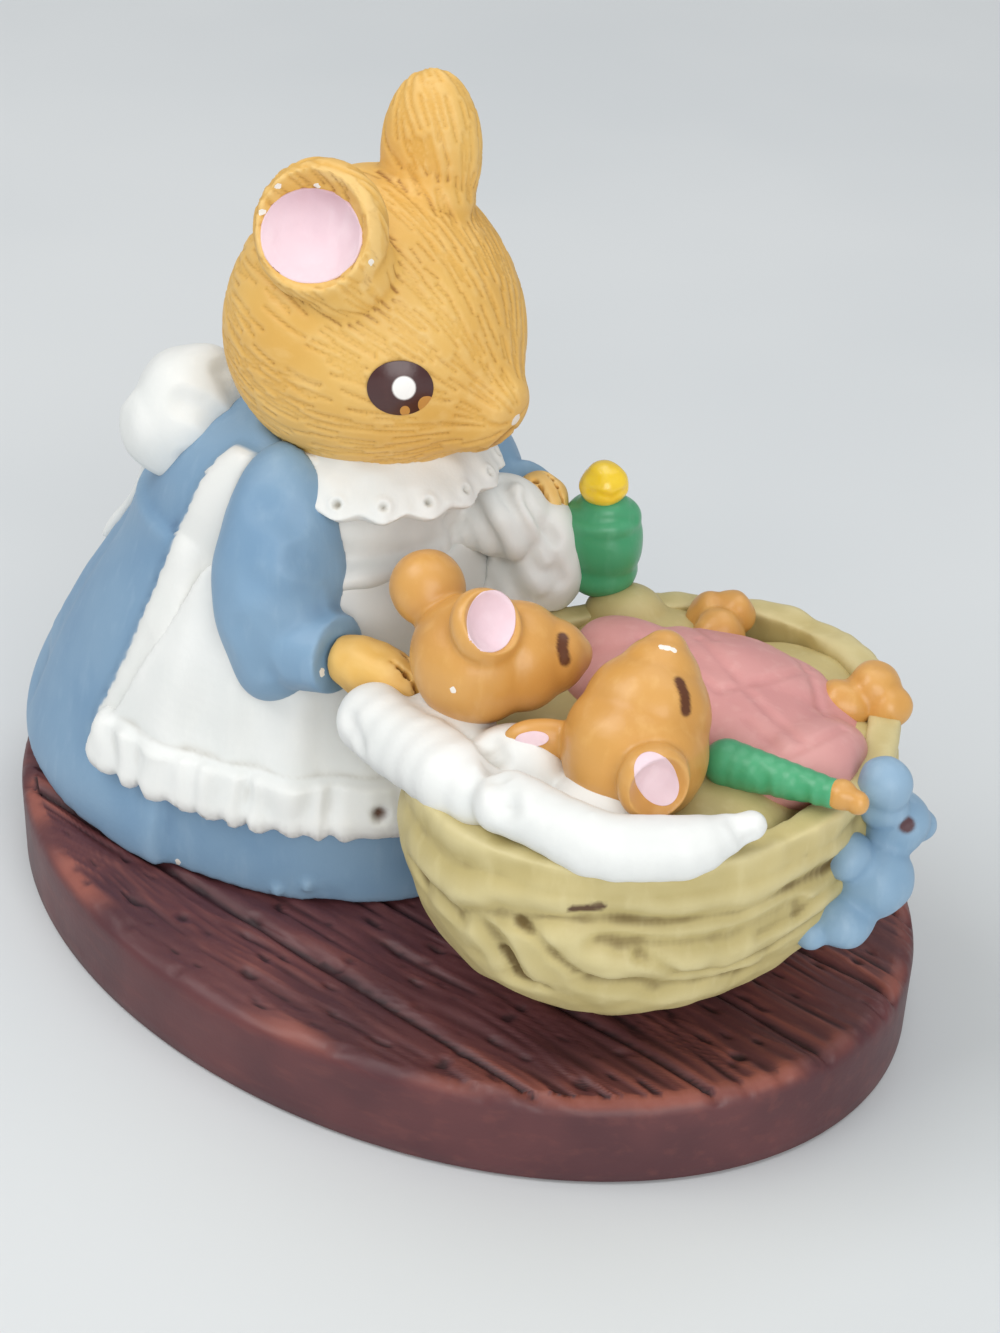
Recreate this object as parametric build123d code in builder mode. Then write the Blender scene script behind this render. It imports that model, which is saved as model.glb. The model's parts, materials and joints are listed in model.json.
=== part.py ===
from build123d import *
import os
from math import cos, sin, pi

os.makedirs("parts", exist_ok=True)

# Mouse figurine: a mother mouse leaning over a walnut-shell crib with two sleeping babies.
# Millimetres. The origin is the middle of the base's underside, +X runs from mother to crib, +Z is up.

# Base
base_length = 76.0
base_width = 56.0
base_height = 7.0
base_edge_round = 1.2
plank_pitch = 8.3
plank_seam_y = -3.3
plank_seam_depth = 0.5
seam_rows = (-2, -1, 0, 1, 2, 3)

# Pegs that locate the castings in each other
peg_width = 8.0
peg_depth = 3.0
peg_clearance = 0.1
cut_overrun = 1.0

# Dress skirt, a bell that leans towards the crib as it rises
dress_y = -4.3
skirt_hem_x = -14.5
skirt_lean = 3.0
skirt_height = 24.8
skirt_half_length = 22.0
skirt_half_width = 15.6
skirt_level_shares = (0, 0.16, 0.36, 0.55, 0.75, 1)
skirt_lean_shares = (0, 0.1, 0.3, 0.45, 0.77, 1)
skirt_length_shares = (1, 0.98, 0.885, 0.765, 0.645, 0.535)
skirt_width_shares = (1, 0.99, 0.925, 0.865, 0.785, 0.685)

# Dress train, the over-drape behind
train_thickness = 0.9
train_front_x = -10.6

# Bodice
bodice_height = 9.2
bodice_lean = 5.2
bodice_half_length = 12.0
bodice_half_width = 10.7
bodice_level_shares = (0, 0.36, 0.7, 1)
bodice_lean_shares = (0, 0.3, 0.64, 1)
bodice_length_shares = (1, 0.9, 0.74, 0.5)
bodice_width_shares = (1, 0.98, 0.88, 0.62)

# Apron
apron_thickness = 1.0
apron_hem_z = 14.6
apron_side_hem_x = -17.0
apron_side_top_x = -8.6
frill_height = 3.4
frill_reach = 1.0
frill_pleats = 40
frill_length_share = 0.955
frill_width_share = 0.97
frill_lean_share = 0.2
bib_thickness = 0.9
bib_side_x = -5.5

# Lace collar
collar_x = -3.6
collar_y = -5.0
collar_low_z = 36.0
collar_high_z = 40.2
collar_low_radius = 9.2
collar_high_radius = 6.6
collar_scallop = 1.5
collar_edge = 1.2
collar_scallops = 14

# Bow at the back of the apron
bow_x = -17.6
bow_y = -4.0
bow_z = 36.0
bow_knot_half = 2.3
bow_loop_length = 9.4
bow_loop_radius = 4.5
bow_loop_heading_shares = (0.2, 0.95, 0.22)
bow_loop_swell_shares = ((0.12, 0.45), (0.35, 0.8), (0.65, 1.0), (0.9, 0.62))
bow_tail_x = -26.0
bow_tail_y = -6.5
bow_tail_length = 9.0
bow_tail_width = 4.0
bow_tail_thickness = 1.0

# Sleeves and paws, the near one is the mother's right
arms_y = -4.6
shoulder_x = -4.8
shoulder_z = 39.4
shoulder_reach = 7.6
elbow_x = -3.3
elbow_z = 27.6
elbow_reach = 10.4
cuff_x = 2.2
right_cuff_z = 28.2
left_cuff_z = 33.2
cuff_reach = 9.8
sleeve_radius = 4.5
cuff_radius = 3.2
shoulder_sink = 1.5
right_paw_length = 8.0
left_paw_length = 4.4
paw_radius = 2.1
paw_sink = 1.2
paw_ahead_share = 0.95
paw_inward_share = 0.22
paw_down_share = 0.12
finger_length = 2.7
finger_gap = 0.3
finger_pitch = 1.2
finger_rows = (-0.5, 0.5)

# Head
head_x = -3.9
head_y = -4.8
head_z = 47.9
head_back_length = 9.8
head_snout_length = 12.6
head_radius = 10.3
head_facing_shares = (0.955, 0.07, -0.29)
head_crown_shares = (0.29, -0.2, 0.94)
head_swell_shares = ((0.04, 0.42), (0.16, 0.8), (0.42, 1.0), (0.64, 0.87), (0.83, 0.54), (0.95, 0.24))

# Mother's ears
ear_out = 8.0
right_ear_up = 11.2
left_ear_up = 12.0
right_ear_ahead = 0.2
left_ear_ahead = -2.6
ear_radius = 4.5
ear_thickness = 3.4
ear_dish_depth = 1.2
ear_dish_radius = 9.0
ear_lining_thickness = 0.35
ear_stem_radius = 3.8
ear_stem_length = 7.0
right_ear_heading_shares = (0.3, -0.88, 0.36)
left_ear_heading_shares = (-0.46, 0.87, -0.06)

# Mother's eyes
eye_out_share = 0.6
eye_ahead_share = 0.73
eye_up_share = 0.32
eye_radius = 2.4
eye_sink = 1.0
eye_rise = 0.5

# Walnut-shell crib
crib_x = 20.6
crib_y = -3.0
crib_half_length = 19.0
crib_radius = 15.3
crib_sink = 0.4
crib_rise = 4.4
crib_rim_share = 0.965
crib_wall = 1.9
crib_lip_height = 1.6
crib_lip_reach = 0.5
crib_groove_depth = 0.9
crib_groove_width = 0.8
crib_groove_turns = (-54, -30, -8, 14, 38, 60)

# Bedding block, pillow and quilt
bedding_drop = 3.8
pillow_start_x = 4.8
pillow_waist_x = 19.4
pillow_end_x = 34.2
pillow_start_y = -14.8
pillow_waist_y = -17.2
pillow_end_y = -11.8
pillow_z = 26.2
pillow_lap = 3.2
pillow_radius = 4.4
quilt_x = 22.0
quilt_y = 3.0
quilt_z = 19.8
quilt_half_length = 12.6
quilt_radius = 9.4
quilt_edge_y = -3.6
fold_x = 9.2
fold_y = 7.8
fold_z = 23.0
fold_half_height = 4.2
fold_radius = 4.4
fold_inset = 0.3
fold_heading_shares = (0.12, 0.2, 0.97)

# First baby, beside the mother, sits up against the pillow and looks towards its feet
first_head_x = 12.8
first_head_y = -11.0
first_head_z = 31.8
first_head_back = 5.9
first_head_snout = 7.6
first_head_radius = 5.8
first_facing_shares = (0.42, 0.86, -0.28)
baby_swell_shares = ((0.05, 0.45), (0.18, 0.8), (0.43, 1.0), (0.66, 0.85), (0.84, 0.54), (0.95, 0.27))

# Second baby, lies on its back
second_head_x = 24.8
second_head_y = -10.2
second_head_z = 29.2
second_head_back = 6.3
second_head_snout = 8.6
second_head_radius = 6.1
second_facing_shares = (0.0, 0.62, 0.78)

# Babies' ears
baby_ear_radius = 3.0
baby_ear_thickness = 2.2
baby_ear_dish_depth = 0.8
baby_ear_dish_radius = 5.6
baby_ear_lining_thickness = 0.35
baby_ear_stand = 1.5
flat_ear_stand = 0.35
first_near_ear_shares = (0.42, -0.45, 0.79)
first_far_ear_shares = (-0.86, 0.05, 0.52)
second_near_ear_shares = (0.5, -0.66, 0.56)
second_far_ear_shares = (-0.86, -0.3, 0.42)
baby_ear_heading_shares = {
    "first_baby_near_ear": (0.5, -0.62, 0.6),
    "first_baby_far_ear": (-0.5, -0.6, 0.6),
    "second_baby_near_ear": (0.6, -0.6, 0.53),
    "second_baby_far_ear": (-0.2, -0.5, 0.84),
}

# Arm, paw and feet of the babies
arm_start_x = 27.6
arm_end_x = 34.6
arm_y = -4.0
arm_start_z = 28.8
arm_end_z = 28.4
arm_radius = 2.0
baby_paw_half_length = 2.2
baby_paw_radius = 1.7
foot_half_length = 4.0
foot_radius = 2.6
foot_z = 25.8
first_foot_x = 16.0
first_foot_y = 11.6
second_foot_x = 29.6
second_foot_y = 8.8
foot_heading_shares = (0.25, 0.5, 0.83)

# Cuddly toy in the second baby's paw, hanging over the crib's side
toy_x = 35.8
toy_body_y = 0.6
toy_body_z = 18.6
toy_body_radius = 3.5
toy_head_y = 3.4
toy_head_z = 22.4
toy_head_radius = 3.0
toy_ear_y = 0.2
toy_ear_z = 26.4
toy_ear_radius = 2.2
toy_leg_y = -3.4
toy_leg_z = 17.4
toy_leg_half = 3.0
toy_leg_radius = 1.7

# Bottle with its round top, and the apron corner gathered beside it
bottle_x = 8.0
bottle_y = 8.0
bottle_foot_z = 26.4
bottle_height = 8.4
bottle_radius = 3.5
teat_radius = 2.0
teat_rise = 1.0
corner_x = 3.6
corner_y = 3.4
corner_z = 27.4
corner_half_length = 6.4
corner_radius = 3.6
corner_heading_shares = (0.35, 0.45, 0.82)

unit = 1


def direction(shares):
    return Vector(*shares).normalized()


def turned(start, tip, radius, swell_shares):
    # A round body turned about the line from start to tip, swelling by the listed shares
    run = tip - start
    upright = abs(run.normalized().Z) > 0.9
    side = run.cross(Vector(0, unit, 0) if upright else Vector(0, 0, unit))
    with BuildPart() as body:
        with BuildSketch(Plane(origin=start, x_dir=run, z_dir=side)):
            with BuildLine():
                points = [(run.length * along, radius * out) for along, out in swell_shares]
                outline = Spline((0, 0), *points, (run.length, 0), tangents=[(0, unit), (0, -unit)])
                Line(outline @ 1, outline @ 0)
            make_face()
        revolve(axis=Axis(start, run))
    return body.part


def ball(middle, heading, half_length, radius, seam=None):
    # A round body with an oval outline, turned about its heading from the seam's side
    if seam is None:
        seam = Vector(0, unit, 0) if abs(heading.Z) > 0.9 else Vector(0, 0, unit)
    with BuildPart() as body:
        with BuildSketch(Plane(origin=middle, x_dir=heading, z_dir=heading.cross(seam))):
            Ellipse(half_length, radius)
            Rectangle(half_length * 2, radius * 2, align=(Align.CENTER, Align.MAX), mode=Mode.SUBTRACT)
        revolve(axis=Axis(middle, heading))
    return body.part


def globe(middle, radius):
    with BuildPart() as body:
        with Locations(middle):
            Sphere(radius)
    return body.part


def between(start, tip, radius, seam=None):
    # A round body from one point to another
    run = tip - start
    return ball(start + run / 2, run.normalized(), run.length / 2, radius, seam)


def half_ball(middle, half_length, radius):
    # The lower half of a round body that lies along Y
    along = Vector(0, unit, 0)
    with BuildPart() as bowl:
        with BuildSketch(Plane(origin=middle, x_dir=along, z_dir=(0, 0, unit))):
            Ellipse(half_length, radius)
            Rectangle(half_length * 2, radius * 2, align=(Align.CENTER, Align.MAX), mode=Mode.SUBTRACT)
        revolve(axis=Axis(middle, -along), revolution_arc=180)
    return bowl.part


def nut_shell(half_length, radius):
    # Half a round body, with a wall that leans inwards from its widest level up to the rim
    with BuildPart() as shell:
        add(half_ball(crib_middle, half_length, radius))
        for level, share in ((crib_middle, 1), (crib_rim, crib_rim_share)):
            with BuildSketch(Plane(origin=level)):
                Ellipse(radius * share, half_length * share)
        loft()
    return shell.part


def bell(foot_x, foot_z, lean, height, half_length, half_width, shares, extra):
    # A leaning bell of ovals, grown outwards by the extra for the layers that lie on it
    with BuildPart() as cloth:
        for level_share, lean_share, length_share, width_share in zip(*shares):
            middle = (foot_x + lean * lean_share, dress_y, foot_z + height * level_share)
            with BuildSketch(Plane(origin=middle)):
                Ellipse(half_length * length_share + extra, half_width * width_share + extra)
        loft()
    return cloth.part


def skirt_bell(extra):
    shares = (skirt_level_shares, skirt_lean_shares, skirt_length_shares, skirt_width_shares)
    return bell(
        skirt_hem_x, base_height, skirt_lean, skirt_height, skirt_half_length, skirt_half_width, shares, extra
    )


def bodice_bell(extra):
    shares = (bodice_level_shares, bodice_lean_shares, bodice_length_shares, bodice_width_shares)
    return bell(
        waist_x, waist_z, bodice_lean, bodice_height, bodice_half_length, bodice_half_width, shares, extra
    )


def pleats(half_length, half_width, reach, count):
    # A closed line of round pleats standing out from an oval
    for step in range(count):
        turns = [2 * pi * (step + part) / count for part in (0, 0.5, 1)]
        outs = (0, reach, 0)
        ends = [
            ((half_length + out) * cos(turn), (half_width + out) * sin(turn)) for turn, out in zip(turns, outs)
        ]
        ThreePointArc(*ends)


def cup_ear(middle, heading, radius, thickness, dish_depth, dish_radius, skin):
    # A round ear with a thick lip, dished towards its heading, and the lining on the dish
    core = ball(middle - heading * (thickness / 2), heading, thickness / 2, radius)
    hollow_middle = middle + heading * (dish_radius - dish_depth)
    with BuildPart() as ear:
        add(core)
        with Locations(hollow_middle):
            Sphere(dish_radius, mode=Mode.SUBTRACT)
    with BuildPart() as lining:
        add(core)
        with Locations(hollow_middle):
            Sphere(dish_radius, mode=Mode.INTERSECT)
            Sphere(dish_radius - skin, mode=Mode.SUBTRACT)
    return ear.part, lining.part


def less(body, *neighbours):
    # The body with its neighbours' seats cut out of it
    with BuildPart() as seated:
        add(body)
        for neighbour in neighbours:
            add(neighbour, mode=Mode.SUBTRACT)
    return seated.part


def joined(*bodies):
    with BuildPart() as whole:
        for body in bodies:
            add(body)
    return whole.part


def finish(part, name):
    # Keeps the main body, names it and writes it
    solid = part.solids().sort_by(SortBy.VOLUME)[-1]
    solid.label = name
    export_step(solid, "parts/" + name + ".step")
    return solid


waist_x = skirt_hem_x + skirt_lean
waist_z = base_height + skirt_height
neck_x = waist_x + bodice_lean
neck_z = waist_z + bodice_height
head_middle = Vector(head_x, head_y, head_z)
head_facing = direction(head_facing_shares)
head_left = direction(head_crown_shares).cross(head_facing).normalized()
head_crown = head_facing.cross(head_left)

crib_middle = Vector(crib_x, crib_y, base_height + crib_radius - crib_sink)
crib_rim_z = crib_middle.Z + crib_rise
crib_rim = Vector(crib_x, crib_y, crib_rim_z)
below_base = Plane(origin=(crib_x, crib_y, base_height))

# Walnut-shell crib: a deep half shell with a lip, lengthwise grooves and the peg for the base
shell_inner = nut_shell(crib_half_length - crib_wall, crib_radius - crib_wall)
shell_outer = nut_shell(crib_half_length, crib_radius)
rim_radius = crib_radius * crib_rim_share
rim_half_length = crib_half_length * crib_rim_share
with BuildPart() as lip:
    with BuildSketch(Plane(origin=crib_rim)):
        Ellipse(rim_radius + crib_lip_reach, rim_half_length + crib_lip_reach)
    extrude(amount=-crib_lip_height)
with BuildPart() as crib_solid:
    add(shell_outer)
    add(lip.part)
    split(bisect_by=below_base, keep=Keep.TOP)
crib_wall_body = less(crib_solid.part, shell_inner)
with BuildPart() as crib_grooves:
    for turn in crib_groove_turns:
        across = (cos(pi * turn / 180), 0, sin(pi * turn / 180))
        with BuildSketch(Plane(origin=crib_middle, x_dir=(0, unit, 0), z_dir=across)):
            Rectangle(crib_half_length * 2, crib_radius * 2)
            Ellipse(
                crib_half_length - crib_groove_depth,
                crib_radius - crib_groove_depth,
                mode=Mode.SUBTRACT,
            )
        extrude(amount=crib_groove_width / 2, both=True)
    split(bisect_by=Plane(crib_middle), keep=Keep.BOTTOM)
with BuildPart() as crib:
    add(crib_wall_body)
    add(crib_grooves.part, mode=Mode.SUBTRACT)
    with Locations((crib_x, crib_y, base_height)):
        Cylinder(peg_width / 2, peg_depth, align=(Align.CENTER, Align.CENTER, Align.MAX))
crib_part = finish(crib.part, "crib_shell")

# Base: an oval plinth with plank seams cut across its top, and sockets for the two pegs
with BuildPart() as base:
    with BuildSketch():
        Ellipse(base_length / 2, base_width / 2)
    extrude(amount=base_height)
    fillet(base.edges().sort_by(Axis.Z)[-1], base_edge_round)
    for row in seam_rows:
        seam_middle = (0, plank_seam_y + plank_pitch * row, base_height)
        with BuildSketch(Plane(origin=seam_middle, z_dir=(unit, 0, 0))):
            RegularPolygon(plank_seam_depth, 4)
        extrude(amount=base_length, both=True, mode=Mode.SUBTRACT)
    for peg_x, peg_y in ((skirt_hem_x, dress_y), (crib_x, crib_y)):
        with Locations((peg_x, peg_y, base_height + cut_overrun)):
            Cylinder(
                peg_width / 2 + peg_clearance,
                peg_depth + peg_clearance + cut_overrun,
                align=(Align.CENTER, Align.CENTER, Align.MAX),
                mode=Mode.SUBTRACT,
            )
base_part = finish(base.part, "base")

# Dress skirt, with the peg that stands it in the base
with BuildPart() as skirt:
    add(skirt_bell(0))
    add(crib_solid.part, mode=Mode.SUBTRACT)
    with Locations((skirt_hem_x, dress_y, base_height)):
        Cylinder(peg_width / 2, peg_depth, align=(Align.CENTER, Align.CENTER, Align.MAX))
    with Locations((waist_x, dress_y, waist_z)):
        Cylinder(
            peg_width / 2 + peg_clearance,
            peg_depth + peg_clearance,
            align=(Align.CENTER, Align.CENTER, Align.MAX),
            mode=Mode.SUBTRACT,
        )
skirt_part = finish(skirt.part, "dress_skirt")

# Dress train: a layer over the back of the bell
with BuildPart() as train:
    add(skirt_bell(train_thickness))
    with Locations((train_front_x, dress_y, base_height)):
        Box(
            base_length,
            base_width,
            skirt_height,
            align=(Align.MIN, Align.CENTER, Align.MIN),
            mode=Mode.SUBTRACT,
        )
    add(skirt_bell(0), mode=Mode.SUBTRACT)
train_part = finish(train.part, "dress_train")

# Apron skirt: a layer over the bell's front, its sides slanting back to the hem
apron_outer = skirt_bell(train_thickness + apron_thickness)
with BuildPart() as apron_room:
    with BuildSketch(Plane.XZ.offset(-dress_y)):
        with BuildLine():
            Polyline(
                (apron_side_hem_x, apron_hem_z),
                (base_length, apron_hem_z),
                (base_length, waist_z),
                (apron_side_top_x, waist_z),
                close=True,
            )
        make_face()
    extrude(amount=base_width, both=True)
with BuildPart() as apron:
    add(apron_outer)
    add(apron_room.part, mode=Mode.INTERSECT)
    add(skirt_bell(0), mode=Mode.SUBTRACT)
    add(train_part, mode=Mode.SUBTRACT)
    add(crib_solid.part, mode=Mode.SUBTRACT)
apron_part = finish(apron.part, "apron_skirt")

# Apron frill: a pleated band round the hem
frill_x = skirt_hem_x + skirt_lean * frill_lean_share
frill_half_length = skirt_half_length * frill_length_share + train_thickness + apron_thickness
frill_half_width = skirt_half_width * frill_width_share + train_thickness + apron_thickness
with BuildPart() as frill:
    with BuildSketch(Plane(origin=(frill_x, dress_y, apron_hem_z))):
        with BuildLine():
            pleats(frill_half_length, frill_half_width, frill_reach, frill_pleats)
        make_face()
    extrude(amount=frill_height)
    with Locations((apron_side_hem_x, dress_y, base_height)):
        Box(
            base_length,
            base_width,
            skirt_height,
            align=(Align.MAX, Align.CENTER, Align.MIN),
            mode=Mode.SUBTRACT,
        )
    add(apron_outer, mode=Mode.SUBTRACT)
    add(crib_solid.part, mode=Mode.SUBTRACT)
near_frill, far_frill = frill.part.solids().sort_by(SortBy.VOLUME)[-2:].sort_by(Axis.Y)
finish(near_frill, "apron_frill")
finish(far_frill, "apron_far_frill")

# Bodice, with a peg down into the skirt and a hollow that seats the head
head_egg = turned(
    head_middle - head_facing * head_back_length,
    head_middle + head_facing * head_snout_length,
    head_radius,
    head_swell_shares,
)
with BuildPart() as bodice:
    add(bodice_bell(0))
    with Locations((waist_x, dress_y, waist_z)):
        Cylinder(peg_width / 2, peg_depth, align=(Align.CENTER, Align.CENTER, Align.MAX))
    add(head_egg, mode=Mode.SUBTRACT)
bodice_part = finish(bodice.part, "dress_bodice")

# Bib: a layer over the bodice's chest
with BuildPart() as bib:
    add(bodice_bell(bib_thickness))
    with Locations((bib_side_x, dress_y, waist_z)):
        Box(
            base_length,
            base_width,
            base_width,
            align=(Align.MAX, Align.CENTER, Align.MIN),
            mode=Mode.SUBTRACT,
        )
    add(bodice_bell(0), mode=Mode.SUBTRACT)
    add(head_egg, mode=Mode.SUBTRACT)
bib_part = finish(bib.part, "apron_bib")

# Babies' heads, as eggs for the pieces that rest against them
first_middle = Vector(first_head_x, first_head_y, first_head_z)
first_facing = direction(first_facing_shares)
first_egg = turned(
    first_middle - first_facing * first_head_back,
    first_middle + first_facing * first_head_snout,
    first_head_radius,
    baby_swell_shares,
)
second_middle = Vector(second_head_x, second_head_y, second_head_z)
second_facing = direction(second_facing_shares)
second_egg = turned(
    second_middle - second_facing * second_head_back,
    second_middle + second_facing * second_head_snout,
    second_head_radius,
    baby_swell_shares,
)

# Sleeves: a puffed upper arm and a short forearm, and the paws that come out of the cuffs
sleeve_parts = {}
paw_parts = {}
sleeve_sides = (("right", -1, right_cuff_z, right_paw_length), ("left", 1, left_cuff_z, left_paw_length))
for side_name, side, cuff_z, paw_length in sleeve_sides:
    shoulder = Vector(shoulder_x, arms_y + side * shoulder_reach, shoulder_z)
    elbow = Vector(elbow_x, arms_y + side * elbow_reach, elbow_z)
    cuff = Vector(cuff_x, arms_y + side * cuff_reach, cuff_z)
    drop = (elbow - shoulder).normalized()
    run = (cuff - elbow).normalized()
    upper = between(shoulder - drop * shoulder_sink, elbow + drop * sleeve_radius, sleeve_radius)
    fore = between(elbow - run * cuff_radius, cuff + run * cuff_radius, cuff_radius)
    cuff_end = Plane(origin=cuff, z_dir=run)
    fore = split(fore, bisect_by=cuff_end, keep=Keep.BOTTOM)
    sleeve = less(joined(upper, fore), bodice_bell(bib_thickness), apron_outer, head_egg)
    sleeve_parts[side_name] = finish(sleeve, side_name + "_sleeve")

    reach = Vector(paw_ahead_share, -side * paw_inward_share, -paw_down_share).normalized()
    wrist = cuff - reach * paw_sink
    palm_end = wrist + reach * paw_length
    spread = reach.cross(Vector(0, 0, unit)).normalized()
    with BuildPart() as paw:
        add(between(wrist, palm_end, paw_radius))
        for row in finger_rows:
            gap = palm_end + spread * (finger_pitch * row)
            with Locations(Plane(origin=gap, x_dir=reach, z_dir=reach.cross(spread))):
                Box(finger_length * 2, finger_gap, paw_radius * 2, mode=Mode.SUBTRACT)
    bare_paw = less(paw.part, sleeve_parts[side_name], apron_outer, first_egg, crib_wall_body)
    paw_parts[side_name] = finish(bare_paw, side_name + "_paw")

# Lace collar: a fluted cone that lies on the chest and carries the chin
with BuildPart() as collar:
    with Locations((collar_x, collar_y, collar_low_z)):
        Cone(
            collar_low_radius,
            collar_high_radius,
            collar_high_z - collar_low_z,
            align=(Align.CENTER, Align.CENTER, Align.MIN),
        )
        with PolarLocations(collar_low_radius - collar_scallop / 2, collar_scallops):
            Cylinder(collar_scallop, collar_edge, align=(Align.CENTER, Align.CENTER, Align.MIN))
    add(bodice_bell(0), mode=Mode.SUBTRACT)
    add(bib_part, mode=Mode.SUBTRACT)
    add(head_egg, mode=Mode.SUBTRACT)
    for sleeve_part in sleeve_parts.values():
        add(sleeve_part, mode=Mode.SUBTRACT)
collar_part = finish(collar.part, "lace_collar")

# Bow at the back: a knot, two puffed loops and one hanging tail
bow_middle = Vector(bow_x, bow_y, bow_z)
knot = ball(bow_middle, Vector(0, 0, unit), bow_knot_half, bow_knot_half)
knot_part = finish(less(knot, bodice_part, train_part, skirt_part), "bow_knot")
loop_ahead, loop_out, loop_up = bow_loop_heading_shares
loop_parts = []
for side_name, side in (("right", -1), ("left", 1)):
    heading = direction((loop_ahead, side * loop_out, loop_up))
    loop = turned(bow_middle, bow_middle + heading * bow_loop_length, bow_loop_radius, bow_loop_swell_shares)
    loop = less(loop, knot_part, bodice_part, train_part, skirt_part, head_egg, bib_part, collar_part)
    loop_parts.append(finish(less(loop, *sleeve_parts.values()), "bow_" + side_name + "_loop"))
tail_layer = skirt_bell(train_thickness + bow_tail_thickness)
with BuildPart() as tail:
    with Locations((bow_tail_x, bow_tail_y, waist_z)):
        Box(
            bow_tail_length,
            bow_tail_width,
            bow_tail_length,
            align=(Align.CENTER, Align.CENTER, Align.MAX),
        )
    add(tail_layer, mode=Mode.INTERSECT)
    for neighbour in (skirt_part, train_part, apron_part, knot_part, *loop_parts):
        add(neighbour, mode=Mode.SUBTRACT)
tail_part = finish(tail.part, "bow_tail")

# Mother's ears and their linings, cupped outwards on the crown
ear_sides = (
    ("right", right_ear_ahead, -ear_out, right_ear_up, right_ear_heading_shares),
    ("left", left_ear_ahead, ear_out, left_ear_up, left_ear_heading_shares),
)
for side_name, ear_ahead, ear_side, ear_up, heading_shares in ear_sides:
    ear_middle = head_middle + head_facing * ear_ahead + head_left * ear_side + head_crown * ear_up
    ahead_share, left_share, up_share = heading_shares
    heading = (head_facing * ahead_share + head_left * left_share + head_crown * up_share).normalized()
    cup, skin = cup_ear(
        ear_middle, heading, ear_radius, ear_thickness, ear_dish_depth, ear_dish_radius, ear_lining_thickness
    )
    root = ear_middle - heading * (ear_thickness / 2)
    stem_line = (head_middle - root).normalized()
    stem = ball(root + stem_line * (ear_stem_length / 2), stem_line, ear_stem_length / 2, ear_stem_radius)
    finish(less(joined(cup, stem), skin, head_egg), side_name + "_ear")
    finish(less(skin, head_egg), side_name + "_ear_lining")

# Mother's eyes: shallow domes on the cheeks
for side_name, side in (("right", -1), ("left", 1)):
    heading = head_facing * eye_ahead_share + head_left * (side * eye_out_share) + head_crown * eye_up_share
    crossings = head_egg.find_intersection_points(Axis(head_middle, heading.normalized()))
    cheek, outward = max(crossings, key=lambda crossing: (crossing[0] - head_middle).dot(heading))
    if outward.dot(heading) < 0:
        outward = -outward
    eye_back = cheek - outward * eye_sink
    with BuildPart() as eye:
        with BuildSketch(Plane(origin=eye_back, x_dir=outward, z_dir=head_crown.cross(outward))):
            with BuildLine():
                dome = ThreePointArc((0, eye_radius), (eye_sink + eye_rise, 0), (0, -eye_radius))
                Line(dome @ 1, dome @ 0)
            make_face()
            Rectangle(eye_radius * 2, eye_radius, align=(Align.CENTER, Align.MAX), mode=Mode.SUBTRACT)
        revolve(axis=Axis(eye_back, outward))
    finish(less(eye.part, head_egg), side_name + "_eye")

# Head: the egg that the ears and eyes sit on
finish(head_egg, "head")

# Bedding block that fills the shell and carries the babies, and the fold of sheet beside the quilt
bedding_top = Plane(origin=(crib_x, crib_y, crib_rim_z - bedding_drop))
bedding_part = finish(split(shell_inner, bisect_by=bedding_top, keep=Keep.BOTTOM), "bedding")
fold = ball(Vector(fold_x, fold_y, fold_z), direction(fold_heading_shares), fold_half_height, fold_radius)
with BuildPart() as rim_ring:
    with BuildSketch(bedding_top):
        Ellipse(crib_radius + base_width, crib_half_length + base_width)
        Ellipse(
            rim_radius - crib_wall - fold_inset,
            rim_half_length - crib_wall - fold_inset,
            mode=Mode.SUBTRACT,
        )
    extrude(amount=base_width)
fold = split(fold, bisect_by=bedding_top, keep=Keep.TOP)
bottle_foot = Vector(bottle_x, bottle_y, bottle_foot_z)
bottle_top = bottle_foot + Vector(0, 0, bottle_height)
bottle = between(bottle_foot, bottle_top, bottle_radius)
fold_part = finish(less(fold, rim_ring.part, bottle), "sheet_fold")

# Pillow: a bolster drawn in between its two lobes, curving round the head of the crib
pillow_start = Vector(pillow_start_x, pillow_start_y, pillow_z)
pillow_waist = Vector(pillow_waist_x, pillow_waist_y, pillow_z)
pillow_end = Vector(pillow_end_x, pillow_end_y, pillow_z)
lap = Vector(pillow_lap, 0, 0)
pillow_lobes = joined(
    between(pillow_start, pillow_waist + lap, pillow_radius),
    between(pillow_waist - lap, pillow_end, pillow_radius),
)
pillow_body = less(pillow_lobes, crib_wall_body, bedding_part, apron_part)

# Quilt: a dome over the babies' bodies
arm_start = Vector(arm_start_x, arm_y, arm_start_z)
arm_end = Vector(arm_end_x, arm_y, arm_end_z)
arm_body = between(arm_start, arm_end, arm_radius, Vector(0, -unit, 0))
with BuildPart() as quilt:
    add(ball(Vector(quilt_x, quilt_y, quilt_z), Vector(unit, 0, 0), quilt_half_length, quilt_radius))
    with Locations((crib_x, quilt_edge_y, quilt_z)):
        Box(
            base_length,
            base_length,
            base_length,
            align=(Align.CENTER, Align.MAX, Align.CENTER),
            mode=Mode.SUBTRACT,
        )
    for neighbour in (crib_wall_body, bedding_part, fold_part, first_egg, second_egg, arm_body):
        add(neighbour, mode=Mode.SUBTRACT)
quilt_part = finish(quilt.part, "quilt")

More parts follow.
